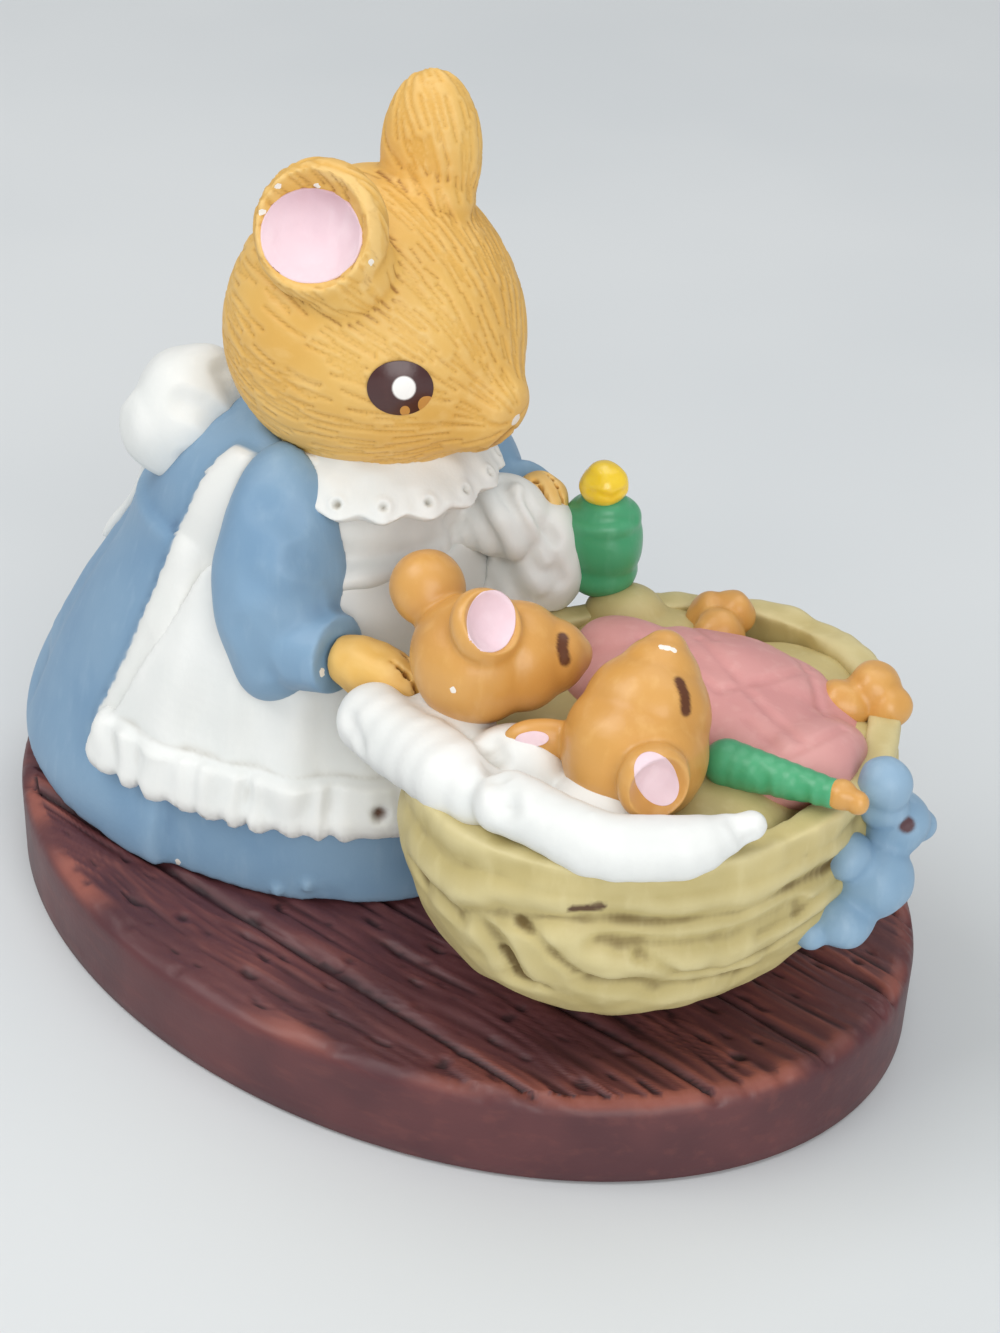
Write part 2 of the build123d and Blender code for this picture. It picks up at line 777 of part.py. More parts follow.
# Babies' heads, ears and linings
first_part = less(first_egg, sleeve_parts["right"], apron_part)
second_part = second_egg
pillow_part = finish(less(pillow_body, first_part, second_part, quilt_part, paw_parts["right"]), "pillow")
baby_ears = (
    ("first_baby_near_ear", first_middle, first_head_radius + baby_ear_stand, first_near_ear_shares),
    ("first_baby_far_ear", first_middle, first_head_radius + baby_ear_stand, first_far_ear_shares),
    ("second_baby_near_ear", second_middle, second_head_radius + baby_ear_stand, second_near_ear_shares),
    ("second_baby_far_ear", second_middle, second_head_radius + flat_ear_stand, second_far_ear_shares),
)
baby_ear_parts = []
for ear_name, middle, reach, shares in baby_ears:
    outward = direction(shares)
    heading = direction(baby_ear_heading_shares[ear_name])
    ear_middle = middle + outward * reach
    cup, skin = cup_ear(
        ear_middle,
        heading,
        baby_ear_radius,
        baby_ear_thickness,
        baby_ear_dish_depth,
        baby_ear_dish_radius,
        baby_ear_lining_thickness,
    )
    seats = (first_part, second_part, pillow_part, quilt_part, paw_parts["right"], sleeve_parts["right"])
    seats = (*seats, apron_part, bib_part, bodice_part)
    baby_ear_parts.append(finish(less(cup, *seats), ear_name))
    finish(less(skin, *seats), ear_name + "_lining")
first_part = finish(first_part, "first_baby_head")
second_part = finish(second_part, "second_baby_head")

# Second baby's sleeve and paw, and a foot of each baby
sleeve_body = less(arm_body, second_egg, pillow_part, crib_wall_body, *baby_ear_parts)
baby_sleeve_part = finish(sleeve_body, "baby_sleeve")
arm_line = (arm_end - arm_start).normalized()
baby_paw_middle = arm_end + arm_line * (baby_paw_half_length / 2)
baby_paw = ball(baby_paw_middle, arm_line, baby_paw_half_length, baby_paw_radius)
baby_paw_part = finish(less(baby_paw, baby_sleeve_part, crib_wall_body, quilt_part), "baby_paw")
for foot_name, foot_x, foot_y in (
    ("first_baby_foot", first_foot_x, first_foot_y),
    ("second_baby_foot", second_foot_x, second_foot_y),
):
    foot = ball(Vector(foot_x, foot_y, foot_z), direction(foot_heading_shares), foot_half_length, foot_radius)
    finish(less(foot, quilt_part, crib_wall_body, bedding_part), foot_name)

# Cuddly toy: body, head, ear and leg
inward = Vector(-unit, 0, 0)
toy_middle = Vector(toy_x, toy_body_y, toy_body_z)
toy_body = globe(toy_middle, toy_body_radius)
toy_body_part = finish(less(toy_body, shell_outer, lip.part, baby_paw_part), "toy_body")
toy_head = globe(Vector(toy_x, toy_head_y, toy_head_z), toy_head_radius)
toy_head_part = finish(less(toy_head, shell_outer, lip.part, toy_body, baby_paw_part), "toy_head")
toy_ear = globe(Vector(toy_x, toy_ear_y, toy_ear_z), toy_ear_radius)
toy_ear_part = finish(less(toy_ear, shell_outer, lip.part, toy_body, toy_head, baby_paw_part), "toy_ear")
toy_leg = ball(Vector(toy_x, toy_leg_y, toy_leg_z), Vector(0, unit, 0), toy_leg_half, toy_leg_radius, inward)
finish(less(toy_leg, shell_outer, lip.part, toy_body, toy_head), "toy_leg")

# Bottle and its round top
bottle_part = finish(bottle, "bottle")
teat = ball(bottle_top + Vector(0, 0, teat_rise), Vector(0, 0, unit), teat_radius, teat_radius)
finish(less(teat, bottle_part), "bottle_top")

# Apron corner gathered up between the left paw and the crib
corner = ball(
    Vector(corner_x, corner_y, corner_z), direction(corner_heading_shares), corner_half_length, corner_radius
)
corner_neighbours = (
    skirt_bell(0), apron_part, bodice_bell(bib_thickness), bib_part, collar_part, crib_solid.part, fold_part,
    quilt_part, bottle_part, first_part, *sleeve_parts.values(), *paw_parts.values(), *baby_ear_parts,
)
finish(less(corner, *corner_neighbours), "apron_corner")
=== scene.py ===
import json
from math import cos, pi, radians, sin
import bpy
import numpy as np
from mathutils import Matrix, Vector, kdtree, noise
from mathutils.bvhtree import BVHTree

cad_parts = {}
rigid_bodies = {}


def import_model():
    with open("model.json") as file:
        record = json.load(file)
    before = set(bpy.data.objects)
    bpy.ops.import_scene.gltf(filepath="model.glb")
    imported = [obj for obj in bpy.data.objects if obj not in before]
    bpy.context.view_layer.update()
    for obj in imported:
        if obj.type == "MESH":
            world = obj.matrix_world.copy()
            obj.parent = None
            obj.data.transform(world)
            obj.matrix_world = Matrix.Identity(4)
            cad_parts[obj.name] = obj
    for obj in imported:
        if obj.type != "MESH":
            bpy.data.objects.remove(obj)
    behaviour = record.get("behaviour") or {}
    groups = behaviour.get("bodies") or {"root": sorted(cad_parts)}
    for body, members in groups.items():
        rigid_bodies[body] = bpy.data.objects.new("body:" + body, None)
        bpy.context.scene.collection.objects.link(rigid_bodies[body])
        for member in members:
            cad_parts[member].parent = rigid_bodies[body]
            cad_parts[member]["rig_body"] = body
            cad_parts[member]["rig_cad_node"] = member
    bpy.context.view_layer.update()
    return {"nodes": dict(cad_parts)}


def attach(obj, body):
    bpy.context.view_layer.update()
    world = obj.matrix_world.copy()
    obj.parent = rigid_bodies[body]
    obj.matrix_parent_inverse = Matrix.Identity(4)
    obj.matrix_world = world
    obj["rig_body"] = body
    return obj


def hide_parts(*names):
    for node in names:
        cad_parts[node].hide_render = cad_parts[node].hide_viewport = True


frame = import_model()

mm = 0.001
print("frame in:", len(frame["nodes"]), "castings")

# where the picture was taken from, in mm and in pixels of the 1000 x 1333 picture
shot = {"azimuth": 40.0, "elevation": 31.849, "roll": 2.382, "distance": 215.015, "aim": (-18.304, 26.949, 0.0),
        "focal": 2400, "wide": 1000, "tall": 1333, "pixelsPerMm": 11, "sensor": 36, "clipStart": 10}

turn, lean, roll = (radians(shot[key]) for key in ("azimuth", "elevation", "roll"))
shotBack = Vector((sin(turn) * cos(lean), -cos(turn) * cos(lean), sin(lean)))
levelRight = Vector((0, 0, 1)).cross(shotBack).normalized()
levelUp = shotBack.cross(levelRight)
shotRight = cos(roll) * levelRight + sin(roll) * levelUp
shotUp = cos(roll) * levelUp - sin(roll) * levelRight
shotPlace = (shotBack * shot["distance"] + Vector(shot["aim"])) * mm

# how clay, tools and brush are handled, lengths in mm
handling = {
    "weld": 0.002,  # points of a casting that are nearer than this become one
    "segments": 32, "rings": 20,  # faces of a pellet
    "softness": 0.5,  # of one round of smoothing
    "carveSteps": 3, "brushSteps": 4,  # steps to the width of a stroke
    "brushEdge": 2.5,  # how crisply a brush mark ends
    "bowlTop": 5, "bowlRounds": 3,  # what is higher than this isn't pressed into an ear
    "standOff": 8,  # where the rays of a patch start
    "patchGrid": 72, "patchJump": 4, "patchRounds": 2}


def pick(*pieces):
    bpy.ops.object.select_all(action="DESELECT")
    for piece in pieces:
        piece.select_set(True)
    bpy.context.view_layer.objects.active = pieces[0]


def called(name):
    # the object that was made last, under its name
    piece = bpy.context.object
    piece.name = piece.data.name = name
    return piece


def applyModifier(piece, kind, **settings):
    pick(piece)
    made = piece.modifiers.new("work", kind)
    for key, value in settings.items():
        setattr(made, key, value)
    bpy.ops.object.modifier_apply(modifier=made.name)


def castOf(name, *nodes):
    # one mesh from copies of the castings, ready to be worked on
    twins = []
    for node in nodes:
        twin = frame["nodes"][node].copy()
        twin.data = twin.data.copy()
        twin.parent = None
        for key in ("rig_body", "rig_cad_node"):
            del twin[key]
        bpy.context.collection.objects.link(twin)
        twins.append(twin)
    pick(*twins)
    if len(twins) > 1:
        bpy.ops.object.join()
    piece = called(name)
    piece.data.materials.clear()
    bpy.ops.object.mode_set(mode="EDIT")
    bpy.ops.mesh.select_all(action="SELECT")
    bpy.ops.mesh.remove_doubles(threshold=handling["weld"] * mm)
    bpy.ops.object.mode_set(mode="OBJECT")
    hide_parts(*nodes)
    return piece


def pellet(place, size, along=(0, 0, 1)):
    # a bit of clay, sizes in mm: width, height and the length along its own direction
    bpy.ops.object.select_all(action="DESELECT")
    bpy.ops.mesh.primitive_uv_sphere_add(segments=handling["segments"], ring_count=handling["rings"], radius=mm,
                                         location=Vector(place) * mm)
    made = bpy.context.object
    made.scale = size if isinstance(size, tuple) else (size, size, size)
    made.rotation_euler = Vector(along).to_track_quat("Z", "Y").to_euler()
    bpy.ops.object.transform_apply(location=True, rotation=True, scale=True)
    return made


def press(piece, lumps):
    # pushes pellets onto the piece before it is blended
    for one in lumps:
        pick(piece, pellet(*one))
        bpy.ops.object.join()


def clayOf(name, nodes, lumps):
    # a piece modelled from pellets alone, in the place of these castings
    pellet(*lumps[0])
    piece = called(name)
    press(piece, lumps[1:])
    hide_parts(*nodes)
    return piece


def rope(start, end, first, last, count):
    # pellets in a row that thin out or swell
    return [(tuple(Vector(start).lerp(Vector(end), at / (count - 1))), first + (last - first) * at / (count - 1))
            for at in range(count)]


def dots(*spots):
    # routes that stay where they begin
    return [(here, here) for here in spots]


def blendClay(piece, voxel, rounds):
    applyModifier(piece, "REMESH", mode="VOXEL", voxel_size=voxel * mm)
    applyModifier(piece, "SMOOTH", factor=handling["softness"], iterations=rounds)
    bpy.ops.object.shade_smooth()


def points(piece):
    flat = np.empty(len(piece.data.vertices) * 3)
    piece.data.vertices.foreach_get("co", flat)
    return flat.reshape(-1, 3)


def setPoints(piece, place):
    piece.data.vertices.foreach_set("co", place.ravel())
    piece.data.update()


def outward(piece):
    flat = np.empty(len(piece.data.vertices) * 3)
    piece.data.vertex_normals.foreach_get("vector", flat)
    return flat.reshape(-1, 3)


def push(piece, offset):
    # moves every point along its normal, in mm
    setPoints(piece, points(piece) + outward(piece) * (offset * mm)[:, None])


def stain(piece, tag, share):
    # keeps the stronger of what is there and what comes
    layer = piece.data.attributes.get(tag)
    if layer is None:
        layer = piece.data.attributes.new(tag, "FLOAT", "POINT")
    kept = np.zeros(len(piece.data.vertices), np.float32)
    layer.data.foreach_get("value", kept)
    layer.data.foreach_set("value", np.maximum(kept, share).astype(np.float32))


def skinOf(piece):
    return BVHTree.FromObject(piece, bpy.context.evaluated_depsgraph_get())


def pixelRay(across, down):
    ray = -shotBack * shot["focal"] + shotRight * (across - shot["wide"] / 2) - shotUp * (down - shot["tall"] / 2)
    return ray.normalized()


def onSkin(piece, route, step):
    # a route of pixels or of mm points, laid on the skin and cut into even steps
    skin = skinOf(piece)
    laid = []
    for here, there in zip(route, route[1:]):
        pixels = len(here) == 2
        reach = (Vector(there) - Vector(here)).length / (shot["pixelsPerMm"] if pixels else 1)
        count = max(2, int(reach / step))
        for at in range(count + 1):
            between = Vector(here).lerp(Vector(there), at / count)
            if pixels:
                found = skin.ray_cast(shotPlace, pixelRay(*between))[0]
            else:
                found = skin.find_nearest(between * mm)[0]
            if found is not None:
                laid.append(found)
    return laid


def near(piece, laid, width):
    # 1 on the laid points, falling to 0 at the width
    tree = kdtree.KDTree(len(piece.data.vertices))
    for index, vertex in enumerate(piece.data.vertices):
        tree.insert(vertex.co, index)
    tree.balance()
    share = np.zeros(len(piece.data.vertices))
    for place in laid:
        for _, index, distance in tree.find_range(place, width * mm):
            fall = 1 - (distance / (width * mm)) ** 2
            share[index] = max(share[index], fall * fall)
    return share


def carve(piece, routes, width, depth, tag=None):
    # tool strokes: a positive depth cuts a groove, a negative one raises a ridge
    laid = [place for route in routes for place in onSkin(piece, route, width / handling["carveSteps"])]
    share = near(piece, laid, width)
    push(piece, -depth * share)
    if tag:
        stain(piece, tag, share)


def brush(piece, routes, width, tag):
    # strokes of a fine brush along pixels or mm points
    laid = [place for route in routes for place in onSkin(piece, route, width / handling["brushSteps"])]
    stain(piece, tag, np.clip(near(piece, laid, width) * handling["brushEdge"], 0, 1))


def soften(piece, share, rounds):
    # evens out one value per point, from neighbour to neighbour
    count = len(piece.data.vertices)
    ends = np.empty(len(piece.data.edges) * 2, np.int64)
    piece.data.edges.foreach_get("vertices", ends)
    one, two = ends[::2], ends[1::2]
    links = np.maximum(np.bincount(one, minlength=count) + np.bincount(two, minlength=count), 1)
    for _ in range(rounds):
        share = (np.bincount(one, share[two], count) + np.bincount(two, share[one], count)) / links
    return share


def feelCreases(piece, rounds, reach, rubbed=1.0):
    # how hollow or proud each point is, for the wash and for the painted highlight on ridges
    place = points(piece)
    calm = np.stack([soften(piece, place[:, axis], rounds) for axis in range(3)], 1)
    rise = ((place - calm) * outward(piece)).sum(1) / (reach * mm)
    stain(piece, "wash_and_shade", np.clip(-rise, 0, 1))
    stain(piece, "ridge_highlight", np.clip(rise, 0, 1) * rubbed)


def inPicture(place):
    # the pixels at which points show
    ray = place - np.array(shotPlace)
    depth = -(ray @ np.array(shotBack))
    return np.stack([shot["wide"] / 2 + shot["focal"] * (ray @ np.array(shotRight)) / depth,
                     shot["tall"] / 2 - shot["focal"] * (ray @ np.array(shotUp)) / depth], 1)


def inPatch(piece, outline, mirrorAt=None):
    # 1 where a point shows inside an outline of pixels, or its mirror image does
    place = points(piece)
    way = outward(piece)
    if mirrorAt is not None:
        place = place * (1, -1, 1) + (0, 2 * mirrorAt * mm, 0)
        way = way * (1, -1, 1)
    across, down = inPicture(place).T
    inside = np.zeros(len(place), bool)
    for (x0, y0), (x1, y1) in zip(outline, outline[1:] + outline[:1]):
        if y0 != y1:
            crosses = (down < y0) != (down < y1)
            inside ^= crosses & (across < x0 + (x1 - x0) * (down - y0) / (y1 - y0))
    return (inside & ((way * (place - np.array(shotPlace))).sum(1) < 0)).astype(float)


def cup(piece, middle, way, reach, floor, rim):
    # presses a bowl into an ear: floor and rim are heights over the middle, in mm
    way = np.array(Vector(way).normalized())
    spread = points(piece) / mm - np.array(middle)
    high = spread @ way
    aside = np.linalg.norm(spread - high[:, None] * way, axis=1)
    bowl = floor + (rim - floor) * (aside / reach) ** 2
    sunk = (aside < reach) & (high > bowl) & (high < handling["bowlTop"])
    setPoints(piece, points(piece) + np.where(sunk, bowl - high, 0)[:, None] * way * mm)
    applyModifier(piece, "SMOOTH", factor=handling["softness"], iterations=handling["bowlRounds"])


def fromShot(across, down, wide, tall, tilt=0.0):
    # rays for a patch that shows as an oval of pixels
    def aim(u, v):
        x = across + wide * u * cos(tilt) - tall * v * sin(tilt)
        y = down - wide * u * sin(tilt) - tall * v * cos(tilt)
        return shotPlace, pixelRay(x, y)
    return aim


def fromSide(middle, way, wide, tall):
    # rays for a patch that is laid on from one direction
    way = Vector(way).normalized()
    side = way.cross(Vector((0, 0, 1))).normalized()
    rise = side.cross(way)
    start = handling["standOff"]
    return lambda u, v: ((Vector(middle) + way * start + side * wide * u + rise * tall * v) * mm, -way)


def patchOn(name, nodes, skin, aim, lift, dome, thick):
    # a thin oval that follows the skin under it
    grid = handling["patchGrid"]
    bpy.ops.object.select_all(action="DESELECT")
    bpy.ops.mesh.primitive_grid_add(x_subdivisions=grid, y_subdivisions=grid, size=2)
    piece = called(name)
    laid = []
    _, out, _, far = skin.ray_cast(*aim(0, 0))
    for across, up, _ in points(piece):
        u, v = across * (1 - up * up / 2) ** 0.5, up * (1 - across * across / 2) ** 0.5
        origin, ray = aim(u, v)
        hit, _, _, distance = skin.ray_cast(origin, ray)
        if hit is None or abs(distance - far) > handling["patchJump"] * mm:
            hit = skin.find_nearest(origin + ray * far)[0]
        laid.append(hit + out * (lift + dome * (1 - u * u - v * v)) * mm)
    setPoints(piece, np.array(laid))
    if piece.data.polygons[len(laid) // 2].normal.dot(out) < 0:
        piece.data.flip_normals()
    applyModifier(piece, "SMOOTH", factor=handling["softness"], iterations=handling["patchRounds"])
    applyModifier(piece, "SOLIDIFY", thickness=thick * mm, offset=-1)
    bpy.ops.object.shade_smooth()
    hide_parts(*nodes)
    return piece


def ripple(piece, scale, depth, seed):
    # uneven hand modelling all over
    place = points(piece) / mm
    wave = np.array([noise.noise(Vector(at) / scale + Vector((seed, seed, seed))) for at in place])
    push(piece, wave * depth)


def settle(piece, slot):
    piece.data.materials.clear()
    piece.data.materials.append(finishes[slot])
    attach(piece, "root")
    print(piece.name, len(piece.data.polygons), "faces")


def model(piece, craft):
    # the clay is blended, ears are hollowed, tools leave their strokes and the hand its unevenness
    blendClay(piece, **craft["clay"])
    for bowl in craft.get("bowls", ()):
        cup(piece, **bowl)
    for stroke in craft.get("strokes", ()):
        carve(piece, **stroke)
    for wave in craft.get("waves", ()):
        ripple(piece, **wave)


def paintOver(piece, craft):
    # feels where wash gathers and where ridges get their painted highlight, brushes the marks on and gives the piece
    # its finish
    feelCreases(piece, **craft["creases"])
    for mark in craft.get("marks", ()):
        brush(piece, **mark)
    settle(piece, craft["paint"])


# finishes
class Tone:
    # a number socket that can be reckoned with
    def __init__(self, paint, socket):
        self.paint = paint
        self.socket = socket

    def sum(self, kind, other, turned=False):
        pair = [self, other] if not turned else [other, self]
        made = self.paint.node("ShaderNodeMath", {"operation": kind}, {0: pair[0], 1: pair[1]})
        return Tone(self.paint, made.outputs[0])

    def __add__(self, other): return self.sum("ADD", other)
    def __radd__(self, other): return self.sum("ADD", other, True)
    def __sub__(self, other): return self.sum("SUBTRACT", other)
    def __rsub__(self, other): return self.sum("SUBTRACT", other, True)
    def __mul__(self, other): return self.sum("MULTIPLY", other)
    def __rmul__(self, other): return self.sum("MULTIPLY", other, True)
    def __gt__(self, other): return self.sum("GREATER_THAN", other)


class Paint:
    def __init__(self, name):
        self.material = bpy.data.materials.new(name)
        self.material.use_nodes = True
        self.tree = self.material.node_tree
        self.shader = self.tree.nodes["Principled BSDF"]
        self.place = self.node("ShaderNodeTexCoord", {}, {}).outputs["Object"]

    def node(self, kind, settings, sockets):
        made = self.tree.nodes.new(kind)
        for key, value in settings.items():
            setattr(made, key, value)
        for key, value in sockets.items():
            if isinstance(value, Tone):
                value = value.socket
            if isinstance(value, bpy.types.NodeSocket):
                self.tree.links.new(value, made.inputs[key])
            else:
                made.inputs[key].default_value = value
        return made

    def tag(self, name):
        made = self.node("ShaderNodeAttribute", {"attribute_name": name}, {})
        return Tone(self, made.outputs["Fac"])

    def speckle(self, scale, detail=3.0, stretch=None):
        place = self.place
        if stretch:
            place = self.node("ShaderNodeMapping", {}, {"Vector": place, "Scale": stretch}).outputs[0]
        made = self.node("ShaderNodeTexNoise", {}, {"Vector": place, "Scale": scale, "Detail": detail})
        return Tone(self, made.outputs["Fac"])

    def swing(self, scale):
        # speckle about zero
        return self.speckle(scale) - 0.5

    def range(self, value, low, high):
        made = self.node("ShaderNodeMapRange", {"interpolation_type": "SMOOTHSTEP"},
                         {"Value": value, "From Min": low, "From Max": high})
        return Tone(self, made.outputs[0])

    def mix(self, share, first, second):
        made = self.node("ShaderNodeMix", {"data_type": "RGBA"}, {0: share, 6: first, 7: second})
        return made.outputs[2]

    def wear(self, colour, rough, height, fine, high=0.2):
        self.tree.links.new(colour, self.shader.inputs["Base Color"])
        self.tree.links.new(rough.socket, self.shader.inputs["Roughness"])
        bump = self.node("ShaderNodeBump", {}, {"Strength": fine, "Distance": high * mm, "Height": height})
        self.tree.links.new(bump.outputs[0], self.shader.inputs["Normal"])


def rgb(red, green, blue):
    # screen colour to the light that the shader wants
    def light(value):
        value /= 255
        return value / 12.92 if value <= 0.04045 else ((value + 0.055) / 1.055) ** 2.4
    return (light(red), light(green), light(blue), 1.0)


# what all coats share unless they say otherwise; the scales count speckles to the metre
plainCoat = {
    "patch": 140, "patchDetail": 2.0, "patchEdge": (0.32, 0.68),
    "brush": (1, 1, 0.35), "brushScale": 900, "brushDetail": 4.0, "brushEdge": (0.5, 0.75), "streak": 0.25, "highlight": 0.5,
    "washing": 0.8, "washScale": 420, "washThin": 0.55, "washBlot": 0.7, "washEdge": (0.05, 0.9), "glazing": 0.7,
    "mark": rgb(92, 50, 24), "chip": rgb(238, 232, 222), "chipScale": 1500, "chipRagged": 0.5, "chipEdge": 0.5,
    "dullScale": 260, "dullSpread": 0.18, "dullHollow": 0.12, "varnish": 0.0, "varnishRough": 0.25, "gleam": 0.4,
    "tooth": 0.12, "toothScale": 2600, "toothShare": 0.6}


def castPaint(name, **own):
    # brushed acrylic over cast resin: uneven coat, wash in the hollows and painted shade where a piece is stained for
    # it, painted highlights on ridges, marks and chips
    coat = {**plainCoat, **own}
    paint = Paint(name)
    broad = paint.range(paint.speckle(coat["patch"], coat["patchDetail"]), *coat["patchEdge"])
    bristle = paint.speckle(coat["brushScale"], coat["brushDetail"], coat["brush"])
    colour = paint.mix(broad, coat["base"], coat["second"])
    colour = paint.mix(paint.range(bristle, *coat["brushEdge"]) * coat["streak"], colour, coat["light"])
    colour = paint.mix(paint.tag("ridge_highlight") * coat["highlight"], colour, coat["light"])
    blot = coat["washThin"] + coat["washBlot"] * paint.speckle(coat["washScale"])
    washAndShade = paint.tag("wash_and_shade") * blot * coat["washing"]
    colour = paint.mix(paint.range(washAndShade, *coat["washEdge"]), colour, coat["wash"])
    colour = paint.mix(paint.tag("glaze") * coat["glazing"], colour, coat["wash"])
    if "cloth" in coat:
        cloth = paint.mix(broad, coat["cloth"], coat["clothSecond"])
        colour = paint.mix(paint.tag("cloth"), colour, cloth)
    colour = paint.mix(paint.tag("mark"), colour, coat["mark"])
    ragged = paint.tag("chip") + coat["chipRagged"] * paint.swing(coat["chipScale"])
    colour = paint.mix(ragged > coat["chipEdge"], colour, coat["chip"])
    dull = coat["dullSpread"] * paint.swing(coat["dullScale"])
    rough = coat["rough"] + dull + coat["dullHollow"] * paint.tag("wash_and_shade")
    paint.shader.inputs["Coat Weight"].default_value = coat["varnish"]
    paint.shader.inputs["Coat Roughness"].default_value = coat["varnishRough"]
    paint.shader.inputs["Specular IOR Level"].default_value = coat["gleam"]
    paint.wear(colour, rough, bristle + coat["toothShare"] * paint.speckle(coat["toothScale"]), coat["tooth"])
    return paint.material


coats = {
    "maroon_base_paint": dict(name="maroon_planks",
        base=rgb(82, 46, 50), second=rgb(96, 54, 56), light=rgb(158, 92, 78),
        wash=rgb(44, 22, 26), rough=0.46, highlight=0.9, brush=(0.2, 1, 1), streak=0.12),
    "blue_dress_paint": dict(name="dress_blue",
        base=rgb(116, 150, 180), second=rgb(127, 159, 186), light=rgb(162, 188, 207),
        wash=rgb(76, 104, 136), rough=0.5, highlight=0.3, streak=0.15, cloth=rgb(224, 226, 222),
        clothSecond=rgb(230, 230, 226)),
    "white_cloth_paint": dict(name="cloth_white",
        base=rgb(222, 224, 221), second=rgb(229, 230, 227), light=rgb(238, 238, 234),
        wash=rgb(166, 160, 146), rough=0.5, washing=0.75, streak=0.2),
    "mother_fur_paint": dict(name="mother_fur",
        base=rgb(217, 168, 82), second=rgb(225, 180, 96), light=rgb(238, 206, 142),
        wash=rgb(148, 98, 38), rough=0.5, brush=(0.4, 1, 1)),
    "baby_fur_paint": dict(name="baby_fur",
        base=rgb(202, 146, 72), second=rgb(210, 156, 82), light=rgb(232, 188, 120),
        wash=rgb(140, 86, 34), rough=0.4, varnish=0.3),
    # the pink's wash colour also serves as the painted shade towards the top of the mother's ear linings
    "pink_ear_paint": dict(name="ear_pink",
        base=rgb(228, 200, 208), second=rgb(234, 210, 216), light=rgb(242, 226, 230),
        wash=rgb(196, 156, 166), rough=0.55),
    # the mark colour of the eyes is the white of their painted highlight
    "dark_eye_paint": dict(name="eye_brown",
        base=rgb(58, 27, 28), second=rgb(68, 33, 32), light=rgb(96, 54, 46),
        wash=rgb(34, 14, 14), rough=0.3, varnish=0.5, mark=rgb(246, 244, 240), chip=rgb(196, 140, 70)),
    "walnut_shell_paint": dict(name="walnut_shell",
        base=rgb(184, 168, 112), second=rgb(196, 180, 124), light=rgb(216, 204, 156),
        wash=rgb(104, 84, 40), rough=0.48, highlight=0.6, washing=1.0, mark=rgb(88, 62, 40)),
    "pink_quilt_paint": dict(name="quilt_rose",
        base=rgb(201, 140, 138), second=rgb(209, 150, 146), light=rgb(223, 176, 170),
        wash=rgb(158, 98, 98), rough=0.48),
    "green_paint": dict(name="bottle_green",
        base=rgb(62, 152, 104), second=rgb(72, 162, 114), light=rgb(112, 186, 146),
        wash=rgb(34, 100, 66), rough=0.38, varnish=0.2),
    "yellow_gloss_paint": dict(name="teat_yellow",
        base=rgb(240, 198, 22), second=rgb(246, 210, 50), light=rgb(252, 230, 110),
        wash=rgb(196, 146, 10), rough=0.2, varnish=0.7),
    "blue_toy_paint": dict(name="toy_blue",
        base=rgb(128, 160, 186), second=rgb(138, 168, 192), light=rgb(170, 194, 212),
        wash=rgb(84, 114, 146), rough=0.46, mark=rgb(86, 58, 62))}
finishes = {slot: castPaint(**coat) for slot, coat in coats.items()}
print("finishes mixed")

# planks of the base, with a painted highlight along the rim
plank = {"long": 38.0, "wide": 28.0, "tall": 7.0, "round": 1.2, "gridLong": 270, "gridWide": 200,
         "bends": (22, 45, 68, 90), "drops": (2.6, 4.2, 5.8, 6.7), "footIn": 0.3, "sharp": 50,
         "topFrom": 0.3, "topFade": 2, "pitch": 8.3, "seam": -3.3, "seamWide": 0.32, "seamDeep": 0.45, "grain": 0.34,
         "highlightFrom": 0.35, "highlightFade": 1.5, "highlightPatch": 2.2, "highlightLeast": 0.35,
         "creases": dict(rounds=9, reach=0.12), "paint": "maroon_base_paint"}
wood = {"sway": dict(along=0.07, across=0.25, start=0, perBoard=7.1, deep=1.2),
        "fine": dict(along=0.1, across=1.5, start=0, perBoard=3.7, deep=1.1),
        "broad": dict(along=0.14, across=0.55, start=40, perBoard=5.3, deep=0.8),
        "nick": dict(along=0.5, across=1.1, start=80, perBoard=0, deep=2.2, least=0.32),
        "highlight": dict(along=0.11, across=0.2, start=15, perBoard=0)}


def woodNoise(wave, x, y, board):
    return noise.noise(Vector((x * wave["along"], y * wave["across"], wave["start"] + board * wave["perBoard"])))


bpy.ops.object.select_all(action="DESELECT")
bpy.ops.mesh.primitive_grid_add(x_subdivisions=plank["gridLong"], y_subdivisions=plank["gridWide"], size=2)
base = called("base_planks")
square = points(base)
flatLong, flatWide = plank["long"] - plank["round"], plank["wide"] - plank["round"]
disc = np.stack([square[:, 0] * np.sqrt(1 - square[:, 1] ** 2 / 2) * flatLong,
                 square[:, 1] * np.sqrt(1 - square[:, 0] ** 2 / 2) * flatWide,
                 np.full(len(square), plank["tall"])], 1)
setPoints(base, disc * mm)
bpy.ops.object.mode_set(mode="EDIT")
bpy.ops.mesh.select_mode(type="EDGE")
bpy.ops.mesh.select_all(action="DESELECT")
bpy.ops.mesh.select_non_manifold()
ring = (flatLong, flatWide, plank["tall"])
bends = [radians(bend) for bend in plank["bends"]]
rounding = [(plank["round"] * sin(bend), plank["round"] * (1 - cos(bend))) for bend in bends]
wall = [(plank["round"], down) for down in plank["drops"]] + [(plank["round"] - plank["footIn"], plank["tall"])]
for out, down in rounding + wall:
    wider = (flatLong + out, flatWide + out, plank["tall"] - down)
    bpy.ops.mesh.extrude_edges_move(TRANSFORM_OT_translate={"value": (0, 0, (wider[2] - ring[2]) * mm)})
    bpy.ops.transform.resize(value=(wider[0] / ring[0], wider[1] / ring[1], 1), center_override=(0, 0, 0))
    ring = wider
bpy.ops.mesh.edge_face_add()
bpy.ops.mesh.select_all(action="SELECT")
bpy.ops.mesh.normals_make_consistent(inside=False)
bpy.ops.object.mode_set(mode="OBJECT")
